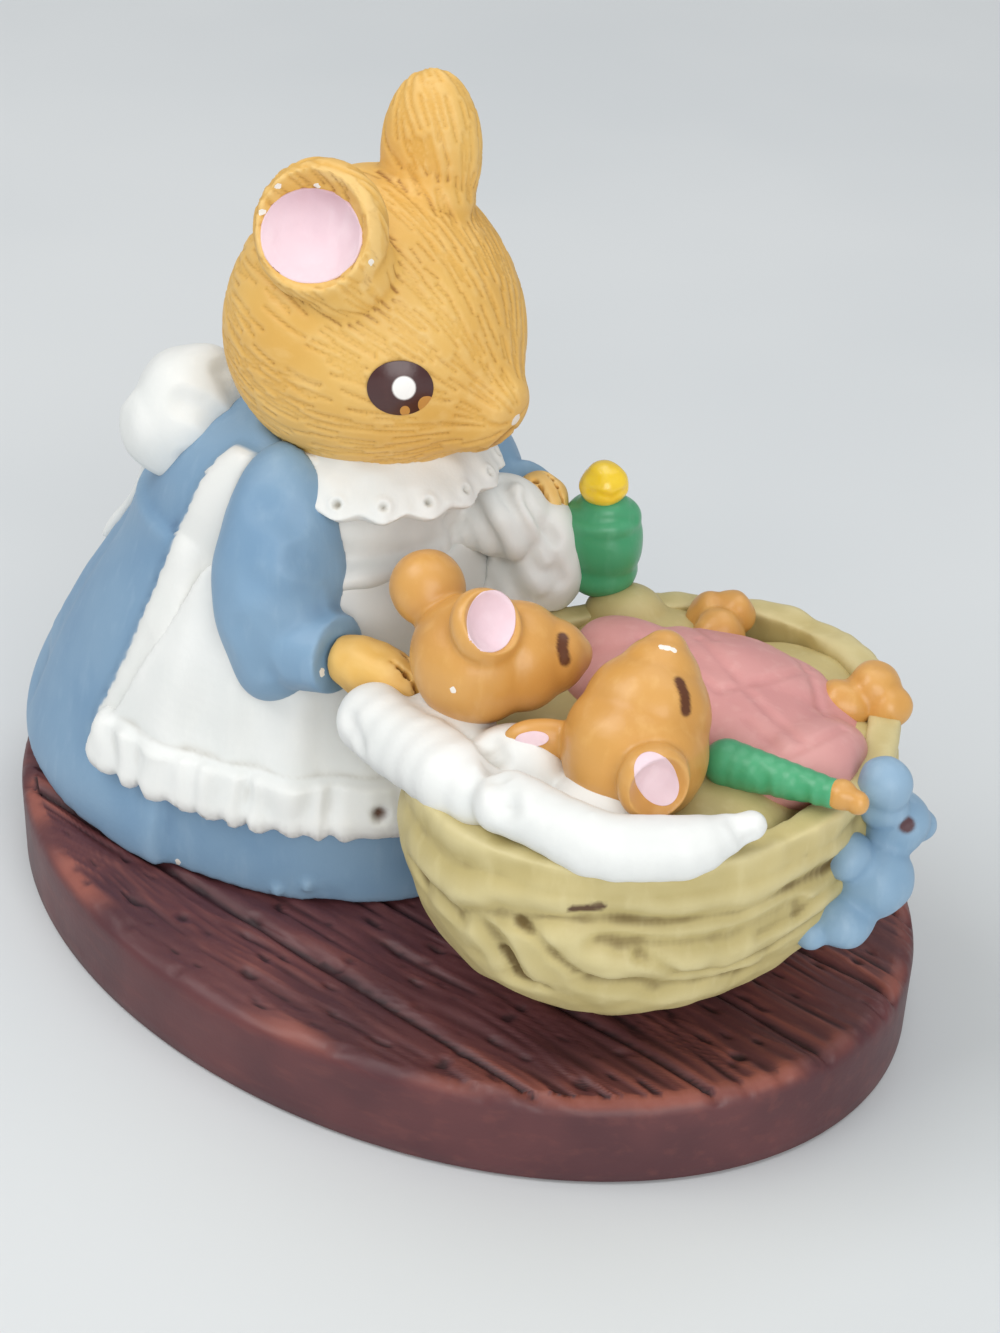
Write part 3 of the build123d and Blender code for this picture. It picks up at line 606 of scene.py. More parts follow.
bpy.ops.object.shade_smooth_by_angle(angle=radians(plank["sharp"]))
place = points(base) / mm
upward = np.clip((outward(base)[:, 2] - plank["topFrom"]) * plank["topFade"], 0, 1)
grain, patchy = [], []
for x, y, _ in place:
    row = (y - plank["seam"]) / plank["pitch"]
    board = int(np.floor(row))
    gap = abs(row - round(row)) * plank["pitch"]
    sway = wood["sway"]["deep"] * woodNoise(wood["sway"], x, y, board)
    fine, broad = (woodNoise(wood[kind], x, y + sway, board) for kind in ("fine", "broad"))
    nick = max(woodNoise(wood["nick"], x, y, board) - wood["nick"]["least"], 0)
    seam = plank["seamDeep"] * np.exp(-(gap / plank["seamWide"]) ** 2)
    figure = -abs(fine) * wood["fine"]["deep"] + wood["broad"]["deep"] * broad - wood["nick"]["deep"] * nick
    grain.append(plank["grain"] * figure - seam)
    patchy.append(woodNoise(wood["highlight"], x, y, board))
push(base, np.array(grain) * upward)
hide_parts("base")
# painted highlight: the top is lighter near the rim, in patches
rim = (place[:, 0] / plank["long"]) ** 2 + (place[:, 1] / plank["wide"]) ** 2
rubbed = (np.clip((rim - plank["highlightFrom"]) * plank["highlightFade"], 0, 1)
          * np.clip(np.array(patchy) * plank["highlightPatch"] + plank["highlightLeast"], 0, 1) * upward)
plank["creases"]["rubbed"] = rubbed
paintOver(base, plank)

# dress: skirt, train and bodice under one coat of blue, with the apron's shoulder straps raised on it
dressCloth = {
    "clay": dict(voxel=0.4, rounds=9),
    "strokes": [
        dict(width=2.8, depth=0.5, routes=[
            [(-30, 7, 11), (-22, 4, 26)], [(-33, -3, 10), (-24, -3, 26)], [(-30, -13, 11), (-22, -9, 26)],
            [(-20, 13, 10), (-17, 8, 26)], [(-8, 12, 9), (-9, 9, 15)], [(2, 6, 9), (0, 6, 15)]]),
        dict(width=2.8, depth=-0.5, routes=[
            [(-27, -9, 12), (-21, -7, 27)], [(-33, 3, 12), (-24, 1, 27)], [(-25, 11, 12), (-20, 7, 27)]]),
        dict(width=1.8, depth=0.2, routes=[[(150, 640), (100, 745)], [(290, 905), (330, 900)]])],
    "strap": [(212, 470), (238, 445), (262, 455), (248, 480), (240, 560), (240, 720), (96, 738), (100, 713),
              (130, 653), (157, 593), (180, 533)],
    "strapHigh": 0.8, "strapRounds": 2, "strapCrisp": 3, "middle": -4.3,
    "uneven": dict(scale=7, depth=0.16, seed=3.1),
    "buttons": dict(width=0.65, depth=-0.5, routes=dots((277, 890), (307, 886))),
    "creases": dict(rounds=14, reach=0.3),
    "marks": [dict(tag="chip", width=0.45, routes=dots((178, 862), (184, 870)))],
    "paint": "blue_dress_paint"}
dress = castOf("dress", "dress_skirt", "dress_train", "dress_bodice")
model(dress, dressCloth)
bothStraps = np.maximum(inPatch(dress, dressCloth["strap"]), inPatch(dress, dressCloth["strap"], dressCloth["middle"]))
strap = soften(dress, bothStraps, dressCloth["strapRounds"])
push(dress, strap * dressCloth["strapHigh"])
stain(dress, "cloth", np.clip(strap * dressCloth["strapCrisp"] - 1, 0, 1))
ripple(dress, **dressCloth["uneven"])
carve(dress, **dressCloth["buttons"])
paintOver(dress, dressCloth)

# apron: its own hem is pushed out and gathered into a frill
apronCloth = {
    "clay": dict(voxel=0.27, rounds=9),
    "strokes": [
        dict(width=2.6, depth=0.3, routes=[
            [(232, 560), (196, 745)], [(262, 700), (255, 790)], [(330, 720), (335, 800)]]),
        dict(width=2.6, depth=-0.3, routes=[[(210, 600), (160, 730)], [(290, 640), (285, 780)]])],
    "waves": [dict(scale=4.5, depth=0.15, seed=6.2)],
    "fanFrom": (-7, -4.3), "gathers": 46, "gather": 0.3, "gatherLeast": 0.6, "gatherStray": 5, "swayScale": 5,
    "frillTop": 18.3, "frillSway": 0.5, "frillEdge": 0.7, "frillOut": 0.75,
    "hemTop": 16.6, "hemFade": 2, "hemDrop": 0.35,
    "hole": dict(width=0.75, depth=0.7, tag="mark", routes=dots((380, 815))),
    "creases": dict(rounds=10, reach=0.3), "paint": "white_cloth_paint"}
apron = castOf("apron", "apron_skirt")
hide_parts("apron_frill", "apron_far_frill")
model(apron, apronCloth)
place = points(apron) / mm
bearing = np.arctan2(place[:, 1] - apronCloth["fanFrom"][1], place[:, 0] - apronCloth["fanFrom"][0])
sway = np.array([noise.noise(Vector(at) / apronCloth["swayScale"]) for at in place])
frillTop = apronCloth["frillTop"] + apronCloth["frillSway"] * sway
hem = np.clip((frillTop - place[:, 2]) / apronCloth["frillEdge"], 0, 1)
pleat = np.cos(bearing * apronCloth["gathers"] + apronCloth["gatherStray"] * sway) * (apronCloth["gatherLeast"] + sway)
push(apron, hem * (apronCloth["frillOut"] + apronCloth["gather"] * pleat))
place = points(apron)
low = np.clip((apronCloth["hemTop"] - place[:, 2] / mm) / apronCloth["hemFade"], 0, 1)
place[:, 2] -= low * (apronCloth["hemDrop"] + apronCloth["hemDrop"] * pleat) * mm
setPoints(apron, place)
carve(apron, **apronCloth["hole"])
paintOver(apron, apronCloth)

# bib and the corner of the apron that is gathered up beside the bottle
bibCloth = {
    "lumps": [((-3.4, -4.6, 31.8), (5.6, 10.0, 2.2)), ((2.6, 1.6, 33.0), (3.4, 3.2, 3.0)),
              ((4.6, 4.0, 30.2), (2.8, 3.0, 3.6))],
    "clay": dict(voxel=0.24, rounds=6),
    "strokes": [
        dict(width=1.0, depth=0.35, routes=[
            [(470, 500), (500, 560), (520, 600)], [(500, 480), (530, 530), (560, 580)], [(450, 520), (470, 580)],
            [(525, 500), (552, 540)]]),
        dict(width=0.9, depth=-0.35, routes=[
            [(485, 490), (512, 545), (540, 590)], [(515, 490), (545, 560)], [(462, 530), (486, 590)]])],
    "waves": [dict(scale=2.2, depth=0.25, seed=8.3)],
    "creases": dict(rounds=10, reach=0.5), "paint": "white_cloth_paint"}
bib = castOf("bib_and_corner", "apron_bib", "apron_corner")
press(bib, bibCloth["lumps"])
model(bib, bibCloth)
paintOver(bib, bibCloth)

# lace collar: an open cone, fluted and scalloped at its lower edge, with an eyelet in every scallop
lace = {
    "middle": (-3.6, -5.0), "low": 37.9, "high": 40.9, "lowRound": 8.7, "highRound": 6.2, "around": 240, "cuts": (1, 7),
    "scallops": 17, "scallop": 0.5, "flute": 0.16, "flare": 0.3, "thick": 1.0, "eyeletUp": 0.6,
    "clay": dict(voxel=0.17, rounds=7), "eyeletRim": dict(width=0.95, depth=-0.22),
    "eyeletHole": dict(width=0.45, depth=0.6, tag="glaze"), "uneven": dict(scale=1.6, depth=0.16, seed=4.4),
    "creases": dict(rounds=10, reach=0.25), "paint": "white_cloth_paint"}
laceX, laceY = lace["middle"]
laceTall = lace["high"] - lace["low"]
bpy.ops.object.select_all(action="DESELECT")
bpy.ops.mesh.primitive_cone_add(vertices=lace["around"], radius1=lace["lowRound"] * mm, radius2=lace["highRound"] * mm,
                                depth=laceTall * mm, end_fill_type="NOTHING",
                                location=Vector((laceX, laceY, (lace["low"] + lace["high"]) / 2)) * mm)
collar = called("lace_collar_edge")
bpy.ops.object.transform_apply(location=True, rotation=True, scale=True)
bpy.ops.object.mode_set(mode="EDIT")
bpy.ops.mesh.select_all(action="SELECT")
for cuts in lace["cuts"]:
    bpy.ops.mesh.subdivide(number_cuts=cuts)
bpy.ops.object.mode_set(mode="OBJECT")
spread = points(collar) / mm - np.array([laceX, laceY, lace["low"]])
angle = np.arctan2(spread[:, 1], spread[:, 0])
fall = 1 - np.clip(spread[:, 2] / laceTall, 0, 1)
flute = lace["flute"] * fall * np.cos(angle * lace["scallops"])
reach = np.hypot(spread[:, 0], spread[:, 1]) + flute + lace["flare"] * fall ** 2
drop = lace["scallop"] * fall ** 3 * np.abs(np.cos(angle * lace["scallops"] / 2))
laid = np.stack([reach * np.cos(angle) + laceX, reach * np.sin(angle) + laceY, spread[:, 2] - drop + lace["low"]], 1)
setPoints(collar, laid * mm)
applyModifier(collar, "SOLIDIFY", thickness=lace["thick"] * mm, offset=-1)
blendClay(collar, **lace["clay"])
bearings = [2 * pi * scallop / lace["scallops"] for scallop in range(lace["scallops"])]
eyelets = dots(*[(laceX + lace["lowRound"] * cos(bearing), laceY + lace["lowRound"] * sin(bearing),
                  lace["low"] + lace["eyeletUp"]) for bearing in bearings])
carve(collar, eyelets, **lace["eyeletRim"])
carve(collar, eyelets, **lace["eyeletHole"])
ripple(collar, **lace["uneven"])
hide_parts("lace_collar")
paintOver(collar, lace)

# bow at the back: two puffed loops, a knot and the tail that hangs down the train
bowCloth = {
    "middle": -4.0, "knot": ((-18.4, -4.0, 36.6), (2.2, 2.0, 2.4)),
    "loop": {"back": -17.4, "aside": 5.2, "high": 38.0, "size": (4.3, 4.9, 4.4), "rise": 0.25},
    "tip": {"back": -18.4, "aside": 7.0, "high": 37.0, "size": (3.4, 3.2, 3.8)},
    "clay": dict(voxel=0.26, rounds=5),
    "strokes": [
        dict(width=1.5, depth=0.45, routes=[
            [(228, 430), (200, 408), (182, 402)], [(225, 455), (190, 462)], [(240, 400), (225, 372)]]),
        dict(width=1.4, depth=0.4, routes=[
            [(-20, 1, 36.5), (-20.5, 5, 39)], [(-20, 0, 38), (-19, 4, 41)], [(-20, -8, 36.5), (-20.5, -12, 39)]])],
    "waves": [dict(scale=3.4, depth=0.35, seed=5.7)],
    "creases": dict(rounds=10, reach=0.3), "paint": "white_cloth_paint"}
bow = castOf("bow", "bow_knot", "bow_tail")
loop, tip = bowCloth["loop"], bowCloth["tip"]
for side in (-1, 1):
    loopPlace = (loop["back"], bowCloth["middle"] + side * loop["aside"], loop["high"])
    tipPlace = (tip["back"], bowCloth["middle"] + side * tip["aside"], tip["high"])
    press(bow, [(loopPlace, loop["size"], (0, side, loop["rise"])), (tipPlace, tip["size"])])
press(bow, [bowCloth["knot"]])
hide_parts("bow_right_loop", "bow_left_loop")
model(bow, bowCloth)
paintOver(bow, bowCloth)

# sleeves with pushed-up folds, and the paws
sleeveCloth = {
    "clay": dict(voxel=0.24, rounds=8), "waves": [dict(scale=3.6, depth=0.3, seed=2.2)],
    "creases": dict(rounds=10, reach=0.3), "paint": "blue_dress_paint"}
sleeveFolds = {
    "right": {"strokes": [dict(width=1.7, depth=0.22, routes=[
                  [(300, 560), (330, 575), (338, 600)], [(255, 585), (290, 600), (320, 598)], [(262, 505), (290, 520)],
                  [(285, 665), (320, 668), (335, 655)], [(240, 630), (265, 668)]])],
              "marks": [dict(tag="chip", width=0.4, routes=dots((322, 672)))]},
    "left": {"strokes": [dict(width=1.7, depth=0.22, routes=[
                 [(-3, 10, 33), (0, 9, 30), (3, 8, 31)], [(-6, 9, 29), (-2, 10, 27)], [(-7, 6, 35), (-3, 10, 36)]])]}}
pawFur = {
    "clay": dict(voxel=0.14, rounds=4), "waves": [dict(scale=1.2, depth=0.12, seed=7.7)],
    "creases": dict(rounds=8, reach=0.08), "paint": "mother_fur_paint"}
for side, folds in sleeveFolds.items():
    sleeve = castOf(side + "_puff_sleeve", side + "_sleeve")
    model(sleeve, {**sleeveCloth, **folds})
    paintOver(sleeve, {**sleeveCloth, **folds})
    paw = castOf(side + "_paw_fur", side + "_paw")
    model(paw, pawFur)
    paintOver(paw, pawFur)

# head: skull, snout and ears worked into each other, then combed with fine grooves
ears = {
    "right": {"place": dict(middle=(-1.4, -12.4, 57.0), way=(0.3, -0.88, 0.36)), "size": (4.6, 4.6, 2.6),
              "bowl": dict(reach=4.0, floor=-0.7, rim=1.8), "root": ((-0.8, -11.0, 54.2), (3.6, 3.4, 3.4))},
    "left": {"place": dict(middle=(-1.9, -1.7, 59.3), way=(-0.46, 0.87, -0.06)), "size": (3.4, 5.6, 2.8),
             "bowl": dict(reach=2.8, floor=0.6, rim=2.4), "root": ((-1.9, -2.2, 56.2), (3.5, 3.2, 3.4))}}
skull = {
    "middle": Vector((-3.9, -4.8, 47.9)), "facing": Vector((0.955, 0.07, -0.29)).normalized(),
    "snoutOut": 8.6, "snoutDrop": 0.9, "snoutSize": 3.6, "rough": dict(voxel=0.45, rounds=14),
    "clay": dict(voxel=0.18, rounds=12), "bowls": [{**ear["place"], **ear["bowl"]} for ear in ears.values()],
    "strokes": [dict(width=0.5, depth=0.2, tag="glaze", routes=[[(512, 430), (492, 448), (462, 458)]])],
    "hairs": 1500, "hairSeed": 12, "hairWide": 0.25, "hairDeep": 0.12, "hairStep": 0.2, "hairSteps": (5, 16),
    "combFrom": 13, "stray": 0.1, "creases": dict(rounds=6, reach=0.11),
    # the first mark is a painted highlight along the top and right of the near ear's rim
    "marks": [dict(tag="ridge_highlight", width=0.55, routes=[
                  [(322, 172), (350, 181), (368, 200), (377, 226), (375, 257), (365, 284)]]),
              dict(tag="chip", width=0.6, routes=dots((516, 420))),
              dict(tag="chip", width=0.3, routes=dots((262, 212), (278, 186), (317, 186), (371, 262)))],
    "paint": "mother_fur_paint"}
head = castOf("head_fur", "head")
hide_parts("right_ear", "left_ear")
snout = skull["middle"] + skull["facing"] * skull["snoutOut"] + Vector((0, 0, -skull["snoutDrop"]))
press(head, [(snout, skull["snoutSize"])])
blendClay(head, **skull["rough"])
press(head, [(ear["place"]["middle"], ear["size"], ear["place"]["way"]) for ear in ears.values()])
press(head, [ear["root"] for ear in ears.values()])
model(head, skull)
rng = np.random.default_rng(skull["hairSeed"])
headSkin = skinOf(head)
place = points(head)
ways = outward(head)
hairs = []
for start in rng.integers(0, len(place), skull["hairs"]):
    at = Vector(place[start])
    out = Vector(ways[start])
    away = at / mm - (skull["middle"] + skull["facing"] * skull["combFrom"])
    comb = (away - out * away.dot(out)).normalized()
    comb = (comb + skull["stray"] * Vector(rng.normal(size=3))).normalized()
    stroke = [at]
    for _ in range(int(rng.integers(*skull["hairSteps"]))):
        stroke.append(headSkin.find_nearest(stroke[-1] + comb * skull["hairStep"] * mm)[0])
    hairs += stroke
push(head, -near(head, hairs, skull["hairWide"]) * skull["hairDeep"])
paintOver(head, skull)

# pink of the mother's ears, with painted shade towards the top
earPink = {
    "right": fromShot(across=311, down=236, wide=50, tall=47),
    "left": fromSide(wide=2.2, tall=2.5, **ears["left"]["place"]),
    "sheet": dict(lift=0.1, dome=0.0, thick=0.25), "uneven": dict(scale=1.1, depth=0.08, seed=9.4),
    "shadeFrom": 56.5, "shadeTall": 3, "shadeThin": 4}
for side in ears:
    lining = patchOn(side + "_ear_pink", [side + "_ear_lining"], headSkin, earPink[side], **earPink["sheet"])
    ripple(lining, **earPink["uneven"])
    rise = np.clip(points(lining)[:, 2] / mm - earPink["shadeFrom"], 0, earPink["shadeTall"])
    stain(lining, "wash_and_shade", rise / earPink["shadeThin"])
    settle(lining, "pink_ear_paint")

# eyes: dark ovals a little proud of the cheeks, with a white painted highlight each; the far one is the near one's
# mirror image
oval = {
    "right": dict(lift=0.14, dome=0.3, thick=0.6), "left": dict(lift=0.04, dome=0.12, thick=0.6),
    "seen": dict(across=400, down=387, wide=33.5, tall=27.5), "mirror": (-0.32, 0.92, 0.22), "standOff": 0.5,
    "glint": (404, 388), "glintWide": 12.5, "glintEdge": 1.6,
    "worn": (427, 405), "wornMore": 4, "wornBelow": (405, 411), "wornWide": 6, "wornEdge": 2}
nearAim = fromShot(**oval["seen"])
mirror = Vector(oval["mirror"]).normalized()


def farAim(u, v):
    # the near eye's rays, mirrored through the head
    middle = skull["middle"] * mm
    across = headSkin.ray_cast(*nearAim(u, v))[0] - middle
    twin = middle + across - 2 * across.dot(mirror) * mirror
    return twin + (twin - middle) * oval["standOff"], (middle - twin).normalized()


eyes = {side: patchOn(side + "_eye_oval", [side + "_eye"], headSkin, aim, **oval[side])
        for side, aim in (("right", nearAim), ("left", farAim))}
shown = inPicture(points(eyes["right"]))
fromGlint, fromWorn, fromBelow = (np.hypot(*(shown - oval[key]).T) for key in ("glint", "worn", "wornBelow"))
chipped = np.minimum(fromWorn - oval["wornMore"], fromBelow)
stain(eyes["right"], "chip", np.clip((oval["wornWide"] - chipped) / oval["wornEdge"], 0, 1))
for eye in eyes.values():
    stain(eye, "mark", np.clip((oval["glintWide"] - fromGlint) / oval["glintEdge"], 0, 1))
    settle(eye, "dark_eye_paint")

# crib: walnut shell with flowing ribs
shell = {
    "clay": dict(voxel=0.3, rounds=8), "middle": (20.6, -3.0, 21.9), "round": 15.3, "half": 19.0,
    "band": [(418, 877), (455, 914), (529, 919), (585, 924), (668, 928), (742, 914), (807, 887), (844, 866)],
    "folds": [[(473, 919), (497, 952), (515, 979)], [(600, 944), (650, 950), (730, 940), (800, 908)],
              [(590, 985), (660, 992), (740, 978)]],
    "ridge": [(560, 935), (610, 968), (690, 962)], "ridgeUp": 22,
    "cuts": [[(520, 924), (538, 942), (557, 961), (575, 975)], [(506, 952), (520, 975), (543, 989)],
             [(640, 958), (677, 975), (724, 969), (770, 952), (807, 924), (835, 901)],
             [(760, 935), (800, 915), (842, 880)]],
    "farTurns": range(-80, 85, 20), "farSpan": np.linspace(0.2, 0.94, 12), "sway": 9, "swayAlong": 3, "swayTurn": 0.3,
    "swaySeed": 2, "groove": dict(width=1.7, depth=0.62), "raise": dict(width=2.0, depth=-0.3),
    "cut": dict(width=0.8, depth=0.28), "uneven": dict(scale=5.0, depth=0.5, seed=1.9),
    "fineUneven": dict(scale=1.6, depth=0.12, seed=6.6), "creases": dict(rounds=14, reach=0.26),
    "marks": [dict(tag="mark", width=0.5, routes=[[(574, 909), (600, 907)]])],
    "paint": "walnut_shell_paint"}
farRoutes = []
for turnBy in shell["farTurns"]:
    route = []
    for share in shell["farSpan"]:
        stray = noise.noise(Vector((share * shell["swayAlong"], turnBy * shell["swayTurn"], shell["swaySeed"])))
        sway = radians(turnBy + shell["sway"] * stray)
        out = Vector((sin(sway), 0, -cos(sway))) * shell["round"] * (1 - share ** 2) ** 0.5
        route.append(tuple(Vector(shell["middle"]) + out + Vector((0, shell["half"] * share, 0))))
    farRoutes.append(route)
crib = castOf("walnut_crib", "crib_shell")
model(crib, shell)
carve(crib, [shell["band"]] + shell["folds"] + farRoutes, **shell["groove"])
carve(crib, [[(x, y - shell["ridgeUp"]) for x, y in shell["band"]], shell["ridge"]], **shell["raise"])
carve(crib, shell["cuts"], **shell["cut"])
ripple(crib, **shell["uneven"])
ripple(crib, **shell["fineUneven"])
paintOver(crib, shell)

# what fills the shell under pillow and quilt, and the lump under the bottle
bedding = {
    "lumps": [((20.6, -2.8, 22.9), (13.5, 16.9, 3.2)), ((9.9, 7.2, 25.6), (3.0, 2.8, 2.2)),
              ((27.0, -7.0, 24.2), (6.5, 6.5, 2.3)), ((28.0, 4.0, 24.0), (6.5, 6.5, 2.3)),
              ((23.0, 8.0, 24.0), (6.5, 6.5, 2.3)), ((13.0, 6.0, 24.0), (6.5, 6.5, 2.3))],
    "clay": dict(voxel=0.3, rounds=8), "waves": [dict(scale=3.5, depth=0.3, seed=3.3)],
    "creases": dict(rounds=10, reach=0.4), "paint": "walnut_shell_paint"}
bed = castOf("crib_bed", "bedding", "sheet_fold")
press(bed, bedding["lumps"])
model(bed, bedding)
paintOver(bed, bedding)

# bolster pillow: rolls along the rim, and the clay under the heads
bolster = {
    "lumps": rope((7.4, -16.6, 26.6), (16.4, -18.6, 27.0), 2.5, 2.7, 6) + [((18.6, -18.8, 27.2), 2.3)]
    + rope((21.6, -19.4, 28.2), (27.4, -18.3, 27.5), 2.1, 2.2, 5)
    + rope((28.8, -17.4, 27.3), (31.5, -14.5, 27.1), 2.2, 2.1, 4)
    + rope((32.2, -13.5, 27.3), (33.9, -10.8, 28.0), 1.9, 1.1, 3)
    + [((11.6, -14.0, 25.2), 3.8), ((18.0, -14.0, 25.2), 3.9), ((25.0, -13.4, 25.2), 4.0)],
    "clay": dict(voxel=0.28, rounds=16),
    "strokes": [dict(width=1.5, depth=0.6, routes=[[(490, 748), (500, 775), (506, 806)]]),
                dict(width=1.0, depth=0.3, routes=[[(735, 820), (748, 840)], [(350, 720), (362, 745)]])],
    "waves": [dict(scale=4.0, depth=0.3, seed=1.4)],
    "creases": dict(rounds=10, reach=0.4), "paint": "white_cloth_paint"}
pillow = clayOf("bolster", ["pillow"], bolster["lumps"])
model(pillow, bolster)
paintOver(pillow, bolster)

# quilt with a few pressed-in lines
quiltCloth = {
    "lumps": [((22.6, 0.2, 25.2), (11.6, 6.6, 3.9)), ((14.2, 1.8, 26.4), (3.8, 3.4, 2.4)),
              ((30.6, 0.0, 26.0), (3.6, 5.2, 2.6))],
    "clay": dict(voxel=0.26, rounds=12),
    "strokes": [
        dict(width=0.6, depth=0.16, routes=[
            [(718, 689), (818, 668)], [(747, 718), (786, 757)], [(786, 757), (843, 728)], [(811, 661), (846, 704)],
            [(640, 640), (720, 690)], [(700, 640), (760, 700), (800, 740)]]),
        dict(width=0.6, depth=0.16, routes=[
            [(12, 9, 28), (20, 4, 29)], [(22, 10, 28), (30, 4, 29)], [(14, 4, 29), (24, 11, 28)]])],
    "waves": [dict(scale=4.2, depth=0.35, seed=2.8)],
    "creases": dict(rounds=10, reach=0.3), "paint": "pink_quilt_paint"}
quilt = castOf("rose_quilt", "quilt")
press(quilt, quiltCloth["lumps"])
model(quilt, quiltCloth)
paintOver(quilt, quiltCloth)

# babies: skull, snout and ears from pellets, ears cupped, closed eyes painted on
firstEar = dict(middle=(14.0, -13.2, 35.0), way=(0.746, -0.113, 0.646))
firstFarEar = dict(middle=(6.9, -10.8, 33.9), way=(-0.35, 0.9, 0.1))
secondEar = dict(middle=(28.3, -13.5, 30.0), way=(0.851, -0.47, 0.15))
babies = {
    "first_baby": {
        "lumps": [((12.2, -11.9, 31.2), 4.35), ((14.0, -10.0, 31.3), 3.7), ((15.6, -8.5, 31.4), 2.6),
                  ((16.5, -7.6, 31.4), 1.6), (firstFarEar["middle"], 2.6), ((8.8, -11.3, 32.6), 2.0),
                  (firstEar["middle"], (2.5, 2.6, 1.7), firstEar["way"])],
        "bowls": [dict(reach=2.15, floor=-0.3, rim=1.1, **firstEar),
                  dict(reach=1.9, floor=1.2, rim=2.2, **firstFarEar)],
        "marks": [dict(tag="mark", width=0.55, routes=[[(563, 638), (562, 648), (565, 660)]]),
                  dict(tag="chip", width=0.3, routes=dots((453, 690)))],
        "near": fromShot(across=491, down=621, wide=24, tall=31, tilt=-0.12),
        "far": fromSide(wide=1.5, tall=1.6, **firstFarEar),
        "toes": [((15.0, 10.7, 26.0), 1.8), ((16.1, 11.5, 26.4), (1.8, 1.7, 1.7)), ((16.6, 9.4, 25.8), 1.9)]},
    "second_baby": {
        "lumps": [((24.6, -10.6, 29.2), 4.75), ((24.3, -9.2, 31.2), 4.1), ((24.0, -7.9, 33.0), 2.8),
                  ((23.7, -7.0, 34.2), 1.7), (secondEar["middle"], (2.4, 2.6, 1.7), secondEar["way"]),
                  ((19.3, -13.0, 28.6), (1.2, 1.6, 2.8), (0.766, 0.643, 0))],
        "bowls": [dict(reach=2.1, floor=-0.3, rim=1.1, **secondEar)],
        "marks": [dict(tag="mark", width=0.55, routes=[[(680, 682), (685, 695), (686, 710)]]),
                  dict(tag="mark", width=0.22, routes=[[(597, 666), (613, 655)]]),
                  dict(tag="chip", width=0.3, routes=dots((662, 647), (668, 648), (674, 650)))],
        "near": fromShot(across=656, down=778, wide=20, tall=29, tilt=0.5),
        "far": fromShot(across=532, down=739, wide=17, tall=8, tilt=0.1),
        "toes": [((29.6, 9.4, 26.8), 2.0), ((31.0, 9.2, 26.3), 1.6), ((28.6, 7.4, 26.0), 1.9)]}}
babyFur = {
    "clay": dict(voxel=0.17, rounds=12), "waves": [dict(scale=2.6, depth=0.16, seed=5.1)],
    "creases": dict(rounds=10, reach=0.3), "paint": "baby_fur_paint"}
babyPink = {"sheet": dict(lift=0.08, dome=0.0, thick=0.2), "uneven": dict(scale=0.9, depth=0.06, seed=3.2)}
toeFur = {
    "clay": dict(voxel=0.16, rounds=7), "waves": [dict(scale=1.6, depth=0.2, seed=3.9)],
    "creases": dict(rounds=8, reach=0.2), "paint": "baby_fur_paint"}
for baby, shape in babies.items():
    fur = clayOf(baby + "_fur", [baby + "_head", baby + "_near_ear", baby + "_far_ear"], shape["lumps"])
    model(fur, {**babyFur, "bowls": shape["bowls"]})
    paintOver(fur, {**babyFur, "marks": shape["marks"]})
    babySkin = skinOf(fur)
    for side in ("near", "far"):
        ear = baby + "_" + side + "_ear"
        lining = patchOn(ear + "_pink", [ear + "_lining"], babySkin, shape[side], **babyPink["sheet"])
        ripple(lining, **babyPink["uneven"])
        settle(lining, "pink_ear_paint")
    foot = clayOf(baby + "_toes", [baby + "_foot"], shape["toes"])
    model(foot, toeFur)
    paintOver(foot, toeFur)

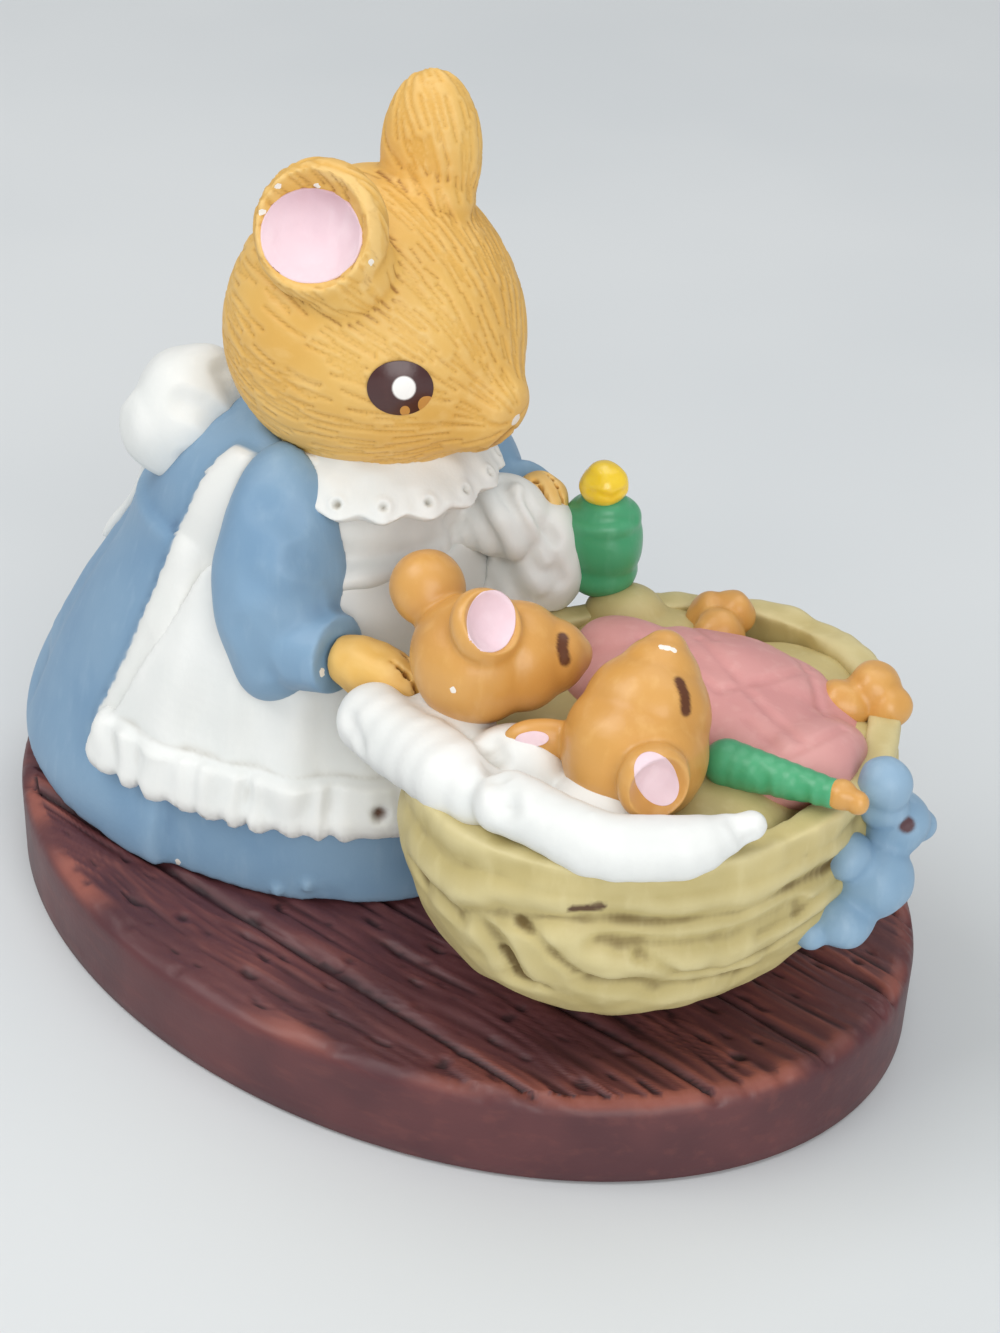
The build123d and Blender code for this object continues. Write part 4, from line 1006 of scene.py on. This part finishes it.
# small pieces of clay: the arm on the quilt, the toy that hangs over the end of the shell, the bottle and its top
smallPieces = {
    "green_sleeve": {
        "nodes": ["baby_sleeve"], "lumps": rope((28.2, -5.4, 27.4), (35.2, -3.9, 27.7), 1.6, 1.0, 9),
        "clay": dict(voxel=0.15, rounds=8),
        "strokes": [dict(width=0.7, depth=0.12, routes=[[(760, 770), (768, 800)], [(800, 782), (806, 808)]])],
        "creases": dict(rounds=8, reach=0.2), "paint": "green_paint"},
    "small_paw": {
        "nodes": ["baby_paw"],
        "lumps": [((35.9, -3.8, 27.8), (1.0, 1.0, 1.2), (1, 0.2, 0)), ((36.9, -3.5, 27.6), 0.8)],
        "clay": dict(voxel=0.13, rounds=5), "waves": [dict(scale=1.2, depth=0.12, seed=1.1)],
        "creases": dict(rounds=8, reach=0.2), "paint": "baby_fur_paint"},
    "cuddly_toy": {
        "nodes": ["toy_body", "toy_head", "toy_ear", "toy_leg"],
        "lumps": [((36.4, 3.0, 22.5), 2.25), ((37.3, 4.3, 22.0), 1.25), ((36.2, 1.0, 26.4), (1.9, 1.6, 2.0)),
                  ((36.0, 1.6, 24.4), 1.7), ((36.5, 0.8, 19.2), (2.5, 2.6, 2.8)), ((35.9, -1.4, 16.8), (2.0, 2.4, 1.9)),
                  ((35.4, -1.0, 21.4), 1.7), ((34.8, -3.6, 16.2), 1.2)],
        "clay": dict(voxel=0.18, rounds=12), "waves": [dict(scale=2.2, depth=0.25, seed=4.6)],
        "creases": dict(rounds=10, reach=0.3), "marks": [dict(tag="mark", width=0.75, routes=dots((907, 825)))],
        "paint": "blue_toy_paint"},
    "green_bottle": {
        "nodes": ["bottle"],
        "lumps": [((7.3, 7.2, 30.7), (3.0, 3.0, 3.4)), ((7.3, 7.2, 32.4), (2.75, 2.75, 1.9)),
                  ((7.3, 7.2, 28.4), (2.7, 2.7, 2.0)), ((7.4, 7.0, 33.7), (1.9, 1.9, 1.0))],
        "clay": dict(voxel=0.17, rounds=8),
        "strokes": [dict(width=0.6, depth=0.14, routes=[[(560, 512), (590, 524), (636, 520)]])],
        "waves": [dict(scale=2.6, depth=0.22, seed=2.6)],
        "creases": dict(rounds=10, reach=0.3), "paint": "green_paint"},
    "yellow_top": {
        "nodes": ["bottle_top"], "lumps": [((7.4, 6.9, 35.3), (1.75, 1.75, 1.6)), ((7.4, 6.9, 36.2), (1.3, 1.3, 0.8))],
        "clay": dict(voxel=0.12, rounds=4),
        "strokes": [dict(width=0.4, depth=0.1, routes=[[(590, 492), (612, 498), (625, 490)]])],
        "waves": [dict(scale=1.4, depth=0.14, seed=8.8)],
        "creases": dict(rounds=8, reach=0.2), "paint": "yellow_gloss_paint"}}
for name, craft in smallPieces.items():
    small = clayOf(name, craft["nodes"], craft["lumps"])
    model(small, craft)
    paintOver(small, craft)

# floor, light and camera; lengths in metres
ground = {"size": 8, "first": rgb(206, 210, 212), "second": rgb(214, 217, 218), "patch": 9, "patchEdge": (0.3, 0.7),
          "rough": 0.7, "roughSpread": 0.1, "roughScale": 30, "tooth": 0.05, "toothScale": 700}
floorPaint = Paint("pale_floor")
floorPatch = floorPaint.range(floorPaint.speckle(ground["patch"]), *ground["patchEdge"])
floorColour = floorPaint.mix(floorPatch, ground["first"], ground["second"])
floorRough = ground["rough"] + ground["roughSpread"] * floorPaint.speckle(ground["roughScale"])
floorPaint.wear(floorColour, floorRough, floorPaint.speckle(ground["toothScale"]), ground["tooth"])
bpy.ops.object.select_all(action="DESELECT")
bpy.ops.mesh.primitive_plane_add(size=ground["size"], location=(0, 0, 0))
floor = bpy.context.object
floor.name = "floor"
floor.data.materials.append(floorPaint.material)

studio = {"sky": (0.96, 0.98, 1.0, 1.0), "strength": 0.38, "lampsAim": (0, 0, 0.02),
          "lamps": {"window": dict(place=(-0.25, -0.35, 0.6), size=0.45, power=2.4),
                    "fill": dict(place=(0.5, -0.35, 0.3), size=0.5, power=2.6),
                    "top": dict(place=(0.05, 0.2, 0.7), size=0.6, power=1.5)}}
world = bpy.data.worlds.new("studio")
bpy.context.scene.world = world
world.use_nodes = True
world.node_tree.nodes["Background"].inputs["Color"].default_value = studio["sky"]
world.node_tree.nodes["Background"].inputs["Strength"].default_value = studio["strength"]
for name, light in studio["lamps"].items():
    bpy.ops.object.light_add(type="AREA", location=light["place"])
    lamp = bpy.context.object
    lamp.name = name
    lamp.data.size = light["size"]
    lamp.data.energy = light["power"]
    aim = Vector(studio["lampsAim"]) - Vector(light["place"])
    lamp.rotation_euler = aim.to_track_quat("-Z", "Y").to_euler()

bpy.ops.object.camera_add()
camera = bpy.context.object
camera.name = "camera"
stand = Matrix((shotRight, shotUp, shotBack)).transposed().to_4x4()
stand.translation = shotPlace
camera.matrix_world = stand
camera.data.sensor_width = shot["sensor"]
camera.data.lens = shot["sensor"] * shot["focal"] / shot["tall"]
camera.data.clip_start = shot["clipStart"] * mm
bpy.context.scene.camera = camera
bpy.context.scene.view_settings.view_transform = "Standard"
print("floor, light and camera set")

print("done")
